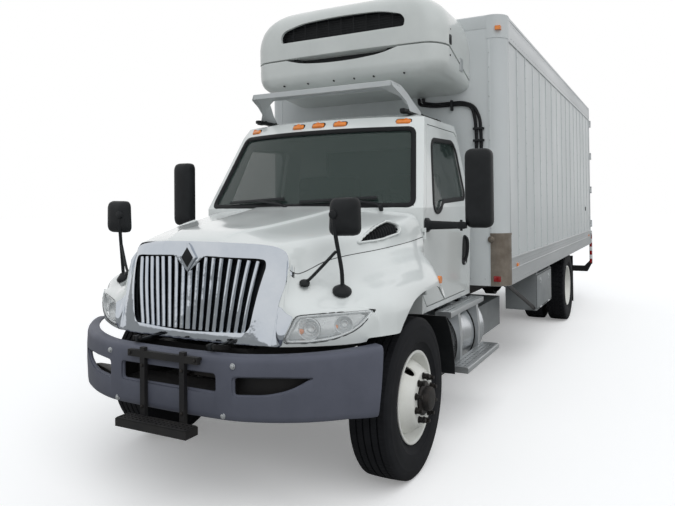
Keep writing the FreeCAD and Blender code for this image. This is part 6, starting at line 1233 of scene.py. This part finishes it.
# Cab steps: each tread wears a plate of stamped aluminium grip planking over its black carrier. Slots go
# through the plate in rows, and small raised buttons stand between them.
def planking(x0, x1, y0, y1, z, rows, pitch):
    """A plate between two corners with that many rows of slots, and the buttons between them."""
    across = np.linspace(x0, x1, rows + 2)[1:-1]
    along = np.arange(y0 + 0.05, y1 - 0.04, pitch)
    slot = slab(oblong(-0.007, -0.020, 0.007, 0.020, 0.006, 4), "XY", -0.02, 0.02)
    button = domed(oblong(-0.005, -0.005, 0.005, 0.005, 0.004, 3), "XY", [(0.0045, 0), (0.0075, 0.002)])
    raised = [(a + (x1 - x0) / (rows + 1) / 2, b + pitch / 2, z) for a in across[:-1] for b in along[:-1]]
    plate = slab(oblong(x0, y0, x1, y1, 0.01), "XY", z + 0.0012, z + 0.005, 0.001)
    return [with_holes(plate, [copies(slot, [(a, b, z) for a in across for b in along])]),
            copies(button, raised)]


treads = []
for x, depth, y, end, z, rows in ((1.226, 0.144, 0.765, 1.715, 0.540, 3),
                                  (1.086, 0.117, 0.795, 1.735, 0.945, 2)):
    nose = [(x, z - 0.040), (x + 0.0075, z - 0.036), (x + 0.0075, z + 0.001), (x, z + 0.005)]
    treads += [*planking(x - depth, x, y, end, z, rows, 0.062),
               slab(rounded(nose, 0.003, 3), "XZ", y - 0.003, end + 0.003)]
piece("cab_step_planking", mill_aluminium, both(treads), sharp=40)


# Locker: a grey painted steel box under the side rail, its door edged by a seal, with hinges below and two
# folding handles. A black strut braces it to the rail ahead of it. Its paint is an even, dull grey.
locker_grey = finish("grey_plastic", "grey_painted_steel_locker", "#8b8f91", "#7e8284", 0.25, 0.45, 0.09,
                     grain=0.004, depth=0.0001)
nodes["side_lockers"].data.materials.clear()
nodes["side_lockers"].data.materials.append(locker_grey)
seal = carry(in_plane(oblong(3.402, 0.587, 4.358, 0.968, 0.02), "YZ", 1.2505), round_section * 0.003,
             up=(1, 0, 0), closed=True)
handles = []
for y in (3.62, 4.14):
    handles += [slab(oblong(y - 0.045, 0.860, y + 0.045, 0.925, 0.012), "YZ", 1.255, 1.2590, 0.001),
                slab(oblong(y - 0.032, 0.884, y + 0.032, 0.902, 0.008), "YZ", 1.258, 1.2660, 0.002),
                rod((1.257, y - 0.05, 0.590), (1.257, y + 0.05, 0.590), 0.008, 16, 0.002)]
door_sheet = slab(oblong(3.410, 0.595, 4.350, 0.960, 0.02), "YZ", 1.2495, 1.2560, 0.002)
piece("locker_door", locker_grey, [door_sheet])
piece("locker_seal", black_rubber, [seal])
piece("locker_handles", mill_aluminium, handles)
strut_run = np.array([(1.225, 2.060, 1.030), (1.225, 2.7325, 0.815), (1.225, 3.405, 0.600)])
strut = [carry(strut_run, oblong(-0.006, -0.022, 0.006, 0.022, 0.004, 3), up=(0, 0.3, 1)),
         slab(oblong(2.02, 1.000, 2.12, 1.060, 0.012), "YZ", 1.212, 1.222, 0.002),
         rod((1.215, 2.07, 1.030), (1.240, 2.07, 1.030), 0.013, 6, 0.003),
         rod((1.215, 3.398, 0.604), (1.240, 3.398, 0.604), 0.013, 6, 0.003)]
piece("locker_strut", chassis_black, strut)


# Bumper step: a tread folded from steel sheet and painted black, with three rows of punched grip holes.
# Clamps with hexagon bolts hold it under the bumper.
grip_spots = [(x, y, 0.568) for y in (-1.245, -1.220, -1.195) for x in np.arange(-0.24, 0.25, 0.030)]
step_plate = with_holes(slab(oblong(-0.262, -1.268, 0.262, -1.172, 0.008), "XY", 0.5660, 0.5700, 0.001),
                        [copies(rod((0, 0, -0.01), (0, 0, 0.01), 0.0075, 8), grip_spots)])
bolts = [rod((x, -1.171, z), (x, -1.180 - deeper, z), 0.010, 6, 0.002)
         for x, z, deeper in ((0.150, 0.62, 0), (0.150, 0.86, 0), (0.245, 0.925, 0.002))]
piece("bumper_step_plate", chassis_black, [step_plate])
piece("bumper_step_bolts", forged_steel, both(bolts))


# Rear guard posts: red and white retroreflective bands round their outer and rear faces. The white ones
# are bright, even and half dull.
reflector_white = finish("box_white", "white_retroreflective_sheet", "#e6e8e8", "#dadcdc", 0.05, 0.35, 0.05)
post_line = oblong(1.2425, 8.6895, 1.2875, 8.7703, 0.004, 3)
for name, look, first in (("red", red_lens, 0), ("white", reflector_white, 1)):
    bands = [slab(post_line, "XY", low, low + 0.075) for low in np.arange(0.66, 1.20, 0.075)[first::2]]
    piece("guard_bands_" + name, look, both(bands))
